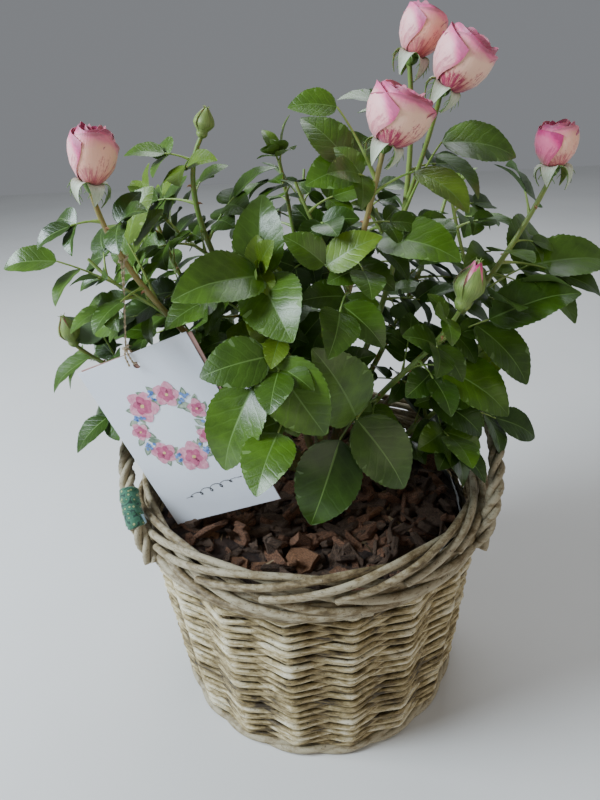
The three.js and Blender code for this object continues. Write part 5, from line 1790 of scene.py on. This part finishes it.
for name, (axis, width, height, parted) in BUDS.items():
    stand = flower_frame(name, axis)
    for i in range(SEPALS):
        bearing = 2 * pi * i / SEPALS + 0.9
        outer, inner = [], []
        for k in range(SEPAL_ROWS + 3):
            share = k / (SEPAL_ROWS + 2)
            rise = 0.16 + 0.84 * share
            spread = radians(38) * min(1, 1.25 * (1 - share) ** (0.12 + 0.55 * parted))
            radius = bud_radius(rise, width / 2)
            lap = BUD_LAP * min(1, 3 * share)
            for grid, out, reach in ((outer, 0.25, 1), (inner, -0.35, 0.96)):
                grid.append([on_ring(bearing + spread * u * reach, max(radius + out + lap * u, 0.1),
                                     height * rise) for u in (-1, -0.5, 0, 0.5, 1)])
        sepals.add(stand, outer, inner, LIME, LIP)
        tip = on_ring(bearing, 0.6, height * 0.95)
        end = on_ring(bearing, 2.2 + roll(), height + 1.5 * roll())
        hang_thread(stand, bezier(tip, tip.lerp(end, 0.5), end), 0.4, 3, 1)


def turned(profile, sides=14):
    """A surface of revolution, as rows of a closed ring for the collector."""
    return [[on_ring(2 * pi * c / sides, radius, z) for c in range(sides + 1)] for radius, z in profile]


for name, facts in {**FLOWERS, **BUDS}.items():
    stand = flower_frame(name, facts[0])
    if name in FLOWERS:
        profile = [(1.7, 0), (2.6, 1.2), (3.9, 2.8), (4.2, 4.4), (3.7, 6.2), (3.9, 7.6)]
        paint = GREEN
    else:
        half, height = facts[1] / 2, facts[2]
        profile = [(half * r, height * z) for r, z in ((0.2, 0), (0.42, 0.05), (0.57, 0.12),
                                                       (0.55, 0.19), (0.52, 0.25), (0.72, 0.33))]
        paint = LIME
    inner = [(max(radius - 0.8, 0.2), z) for radius, z in profile]
    sepals.add(stand, turned(profile), turned(inner), paint, paint)
piece("sepals", sepals.mesh("sepals"), "foliage", sepal_green, sepal_silver, sepal_lime, sepal_lip,
      replaces=ALL_SHOOTS)
thread_sweep = sweep_tree("swept threads", sepal_green, sepal_lime, sides=5)
piece("sepal_threads", threads.sweep("sepal_threads", thread_sweep), "foliage", replaces=ALL_SHOOTS)

# %% [markdown]
# ## The card
# A stiff white card leans on the bark and hangs from a stem by a twine. Its outline and its hole are
# two closed lines of a flat curve, which Blender fills and gives a thickness with softened edges. The
# frame's first axis runs along the card's foot, the second up it, and the third out of its face.

# %% Card panels
CARD_WIDTH = 92
CARD_HEIGHT = 140
CARD_THICKNESS = 0.6
CARD_SOFTENING = 0.12
CARD_FOOT = Vector((-106, -52, 185.7))
CARD_ACROSS = Vector((0.902, -0.207, 0.38)).normalized()
CARD_UP = Vector((-0.386, 0.057, 0.921))
HOLE_ACROSS, HOLE_DOWN, HOLE_RADIUS = 46, 9, 2.6
BACK_TURN = radians(-1.4)
BACK_ASIDE = 3

facing = CARD_ACROSS.cross(CARD_UP).normalized()
card_frame = Matrix.Translation(CARD_FOOT * MM) @ Matrix(
    (CARD_ACROSS, facing.cross(CARD_ACROSS), facing)).transposed().to_4x4() @ Matrix.Scale(MM, 4)


def card_panel(name):
    """A panel with its hole, upright in the plane of x and y, with its foot's left end at (0, 0)."""
    flat = bpy.data.curves.new(name, "CURVE")
    flat.dimensions, flat.fill_mode = "2D", "BOTH"
    flat.extrude = CARD_THICKNESS / 2 - CARD_SOFTENING
    flat.bevel_depth, flat.bevel_resolution = CARD_SOFTENING, 1
    inset = CARD_SOFTENING
    right, top = CARD_WIDTH - inset, CARD_HEIGHT - inset
    outline = [(inset, inset), (right, inset), (right, top), (inset, top)]
    middle = Vector((HOLE_ACROSS, CARD_HEIGHT - HOLE_DOWN, 0))
    hole = [(middle + on_ring(2 * pi * i / 24, HOLE_RADIUS + inset, 0)).xy for i in range(24)]
    for ring in (outline, hole):
        spline = flat.splines.new("POLY")
        spline.points.add(len(ring) - 1)
        spline.use_cyclic_u = True
        for point, (x, y) in zip(spline.points, ring):
            point.co = (x, y, 0, 1)
    holder = put(name, flat)
    mesh = evaluated(holder)
    bpy.data.objects.remove(holder)
    return mesh


# The card is white; the blue in its colours is a painted reflection of the cool window light.
paper = mottled("white_card", 0.42, dict(scale=14, detail=3), (0.3, (0.74, 0.79, 0.88)),
                (0.7, (0.8, 0.85, 0.93)), (0.12, 0.0002), dict(scale=1400, detail=2),
                Coat_Weight=0.12, Coat_Roughness=0.35)
back_paper = mottled("back_card", 0.55, dict(scale=40), (0.35, (0.22, 0.11, 0.08)),
                     (0.65, (0.5, 0.29, 0.25)), (0.2, 0.0003), dict(scale=900, detail=2))

front = card_panel("card_front")
front.transform(card_frame @ Matrix.Translation((0, 0, CARD_THICKNESS / 2)))
piece("card_front", front, "card", paper, replaces=["tag_front"])
back = card_panel("card_back")
hole_middle = Matrix.Translation((HOLE_ACROSS, CARD_HEIGHT - HOLE_DOWN, -0.9 + CARD_THICKNESS / 2))
back.transform(card_frame @ hole_middle @ Matrix.Translation((BACK_ASIDE, 0, 0))
               @ Matrix.Rotation(BACK_TURN, 4, "Z")
               @ Matrix.Translation((-HOLE_ACROSS, HOLE_DOWN - CARD_HEIGHT, 0)))
piece("card_back", back, "card_back", back_paper, replaces=["tag_back"])

# %% [markdown]
# The card carries a painted wreath: a ring of two-toned leaves, seven five-petalled blossoms in pinks
# and small sprays of blue dots, with a plain curled line below. Every stroke is a flat shape, at most
# half a millimetre proud of the paper, so the picture needs no image.

# %% The painted wreath
INK_LIFT = 0.05


def stroke(name, outline):
    """A flat shape in the plane of x and y, one unit long."""
    points = [(0.5, 0, 0), *((x, y, 0) for x, y in outline)]
    ring = range(1, len(points))
    return mesh_of(name, points, faces=[(0, i, i % len(outline) + 1) for i in ring])


leaf_stroke = stroke("leaf_stroke", ((0, 0), (0.2, -0.17), (0.5, -0.26), (0.8, -0.15), (1, 0),
                                     (0.8, 0.15), (0.5, 0.26), (0.2, 0.17)))
petal_stroke = stroke("petal_stroke", [(0.5 - 0.5 * cos(a) + 0.06 * sin(3 * a), 0.44 * sin(a)) for a in
                                       (2 * pi * i / 12 for i in range(12))][::-1])


def ink(name, dark, light):
    return mottled(name, 0.5, dict(scale=330, rough=0.6), (0.35, dark), (0.65, light))


INKS = [ink("ink_leaf", (0.12, 0.2, 0.13), (0.26, 0.34, 0.24)),
        ink("ink_leaf_light", (0.3, 0.38, 0.28), (0.44, 0.5, 0.4)),
        ink("ink_petal", (0.62, 0.2, 0.32), (0.8, 0.42, 0.5)),
        ink("ink_petal_deep", (0.42, 0.06, 0.16), (0.62, 0.16, 0.28)),
        ink("ink_heart", (0.6, 0.42, 0.14), (0.75, 0.6, 0.3)),
        ink("ink_blue", (0.06, 0.16, 0.5), (0.2, 0.36, 0.72)),
        ink("ink_line", (0.05, 0.05, 0.06), (0.09, 0.09, 0.1))]
LEAF_INK, LIGHT_INK, PETAL_INK, DEEP_INK, HEART_INK, BLUE_INK, LINE_INK = range(7)
WREATH_MIDDLE = (45, 80)
WREATH_RADIUS = 26
face_turn = card_frame.to_quaternion()
strokes = {"leaf": [], "petal": []}
roll = dice(5150)


def paint(kind, x, y, turn, size, colour, layer):
    """One stroke on the card, at x and y from the foot's left end, over the strokes of lower layers."""
    place = card_frame @ Vector((x, y, CARD_THICKNESS + INK_LIFT * (1 + layer)))
    strokes[kind].append((place, face_turn @ Quaternion(UP, turn), size * MM, colour))


def on_wreath(bearing, reach=0.0):
    radius = WREATH_RADIUS + reach
    return WREATH_MIDDLE[0] + radius * cos(bearing), WREATH_MIDDLE[1] + radius * sin(bearing)


LEAF_STROKES = 46
for i in range(LEAF_STROKES):
    bearing = 2 * pi * i / LEAF_STROKES + 0.05 * (roll() - 0.5)
    side = 1 if i % 2 else -1
    x, y = on_wreath(bearing, 0.8 * side)
    size = 7.4 + 4 * roll()
    turn = bearing + pi / 2 - side * (0.75 + 0.35 * roll())
    paint("leaf", x, y, turn, size, LEAF_INK if i % 3 else LIGHT_INK, 1 + i % 2)
    paint("leaf", x, y, turn, size * 0.8, LIGHT_INK if i % 3 else LEAF_INK, 3)
BLOSSOMS = 7
for i in range(BLOSSOMS):
    bearing = 2 * pi * i / BLOSSOMS + 0.3
    x, y = on_wreath(bearing, 1.5 * sin(3 * i))
    size = 7.6 + 2.4 * (i % 3)
    for ring, (share, colour, layer) in enumerate(((1, PETAL_INK, 4), (0.62, DEEP_INK, 6))):
        for k in range(5):
            turn = 2 * pi * (k + 0.5 * ring) / 5 + i
            paint("petal", x, y, turn, size * share * (0.92 + 0.16 * roll()), colour, layer + k % 2)
    paint("petal", x - 0.13 * size, y, 0, size * 0.26, HEART_INK, 8)
for i in range(BLOSSOMS):
    bearing = 2 * pi * (i + 0.5) / BLOSSOMS + 0.3
    for k in range(9):
        x, y = on_wreath(bearing + 0.12 * (roll() - 0.5), 8 * (roll() - 0.4))
        paint("petal", x, y, 6 * roll(), 1.7 + 1.2 * roll(), BLUE_INK, 8 + k % 2)
FLOURISH_STEPS = 130
FLOURISH_MIDDLE = (46, 24)
FLOURISH_LENGTH = 50
FLOURISH_CURL = 34
for i in range(FLOURISH_STEPS):
    share = i / (FLOURISH_STEPS - 1)
    curl, swell = share * FLOURISH_CURL, sin(pi * share)
    x = FLOURISH_MIDDLE[0] + FLOURISH_LENGTH * (share - 0.5) + 2.6 * sin(curl)
    y = FLOURISH_MIDDLE[1] + 6 * (share - 0.5) + 2.4 * cos(curl) * swell
    paint("petal", x, y, 0, 0.7 + 0.45 * swell * (0.5 + 0.5 * sin(curl)), LINE_INK, 2)
strokes_made = [scatter(f"{kind}_strokes", shape, strokes[kind], *INKS,
                        parts=[spot[3] for spot in strokes[kind]])
                for kind, shape in (("leaf", leaf_stroke), ("petal", petal_stroke))]
piece("card_picture", joined("card_picture", strokes_made), "card")

# %% [markdown]
# The twine is two strands laid round each other. It loops round the stem, comes down double to a knot
# above the card and goes through the hole. Loose fibres stand off it, as they do on jute.

# %% Twine
TWINE_RADIUS = 0.8
TWINE_PITCH = 0.0052
KNOT_RISE = 5
KNOT_RADIUS = 1.9

jute = mottled("jute", 0.9, dict(scale=900), (0.35, (0.42, 0.31, 0.18)), (0.65, (0.74, 0.63, 0.44)),
               (0.8, 0.0003), dict(scale=2600, detail=3), Sheen_Weight=0.3)


def hole_point(up, out):
    return card_frame @ Vector((HOLE_ACROSS, CARD_HEIGHT - HOLE_DOWN + up, CARD_THICKNESS / 2 + out)) / MM


stem = plans["bloom_left"][0]["curve"]
clear = STEM_RADII[0] + (STEM_RADII[1] - STEM_RADII[0]) * TWINE_HOOK + TWINE_RADIUS + 0.3
loop = [twine_top + away_from(direction(stem, TWINE_HOOK), radians(turn)) * clear
        for turn in range(-70, 251, 20)]
knot = hole_point(HOLE_DOWN + KNOT_RISE, 0)
in_hole = HOLE_RADIUS - TWINE_RADIUS - 0.3
link = [knot, hole_point(HOLE_DOWN, 2), hole_point(in_hole + 1, 1.9), hole_point(in_hole, 0),
        hole_point(in_hole + 1, -2.6), hole_point(HOLE_DOWN, -2.6), knot]
fore = (knot - twine_top).normalized().cross(Vector((1, 0, 0)))
turn_round = [knot + fore * KNOT_RADIUS * cos(angle) + (CARD_ACROSS * KNOT_RADIUS + UP * 0.5) * sin(angle)
              for angle in (2 * pi * i / 12 for i in range(14))]
twine, fibres = Paths(), Paths()
for stops in (loop, link, turn_round, [knot, knot.lerp(loop[0], 0.5) + facing * 1.2, loop[0]],
              [knot, knot.lerp(loop[-1], 0.5) - facing * 1.4, loop[-1]],
              [knot, knot + facing * 3 - UP * 5, knot + facing * 4.6 + CARD_ACROSS * 3 - UP * 13]):
    path = [Vector(point) * MM for point in smooth_path([tuple(stop) for stop in stops], 8)]
    twine.run(path, TWINE_RADIUS * MM)
    for point in path[2::3]:
        way = Vector((roll() - 0.5, roll() - 0.5, roll() - 0.5)).normalized()
        reach = (1.2 + 1.8 * roll()) * MM
        fibres.run([point, point + way * reach * 0.6, point + way * reach + UP * 0.3 * MM],
                   [0.14 * MM, 0.1 * MM, 0.05 * MM])
twine_rope = rope_tree("twine rope", 2, TWINE_RADIUS * MM, TWINE_PITCH, jute)
piece("twine_rope", twine.sweep("twine_rope", twine_rope), "twine", replaces=["tag_twine"])
fibre_sweep = sweep_tree("swept fibres", jute, sides=4)
piece("twine_fibres", fibres.sweep("twine_fibres", fibre_sweep), "twine")
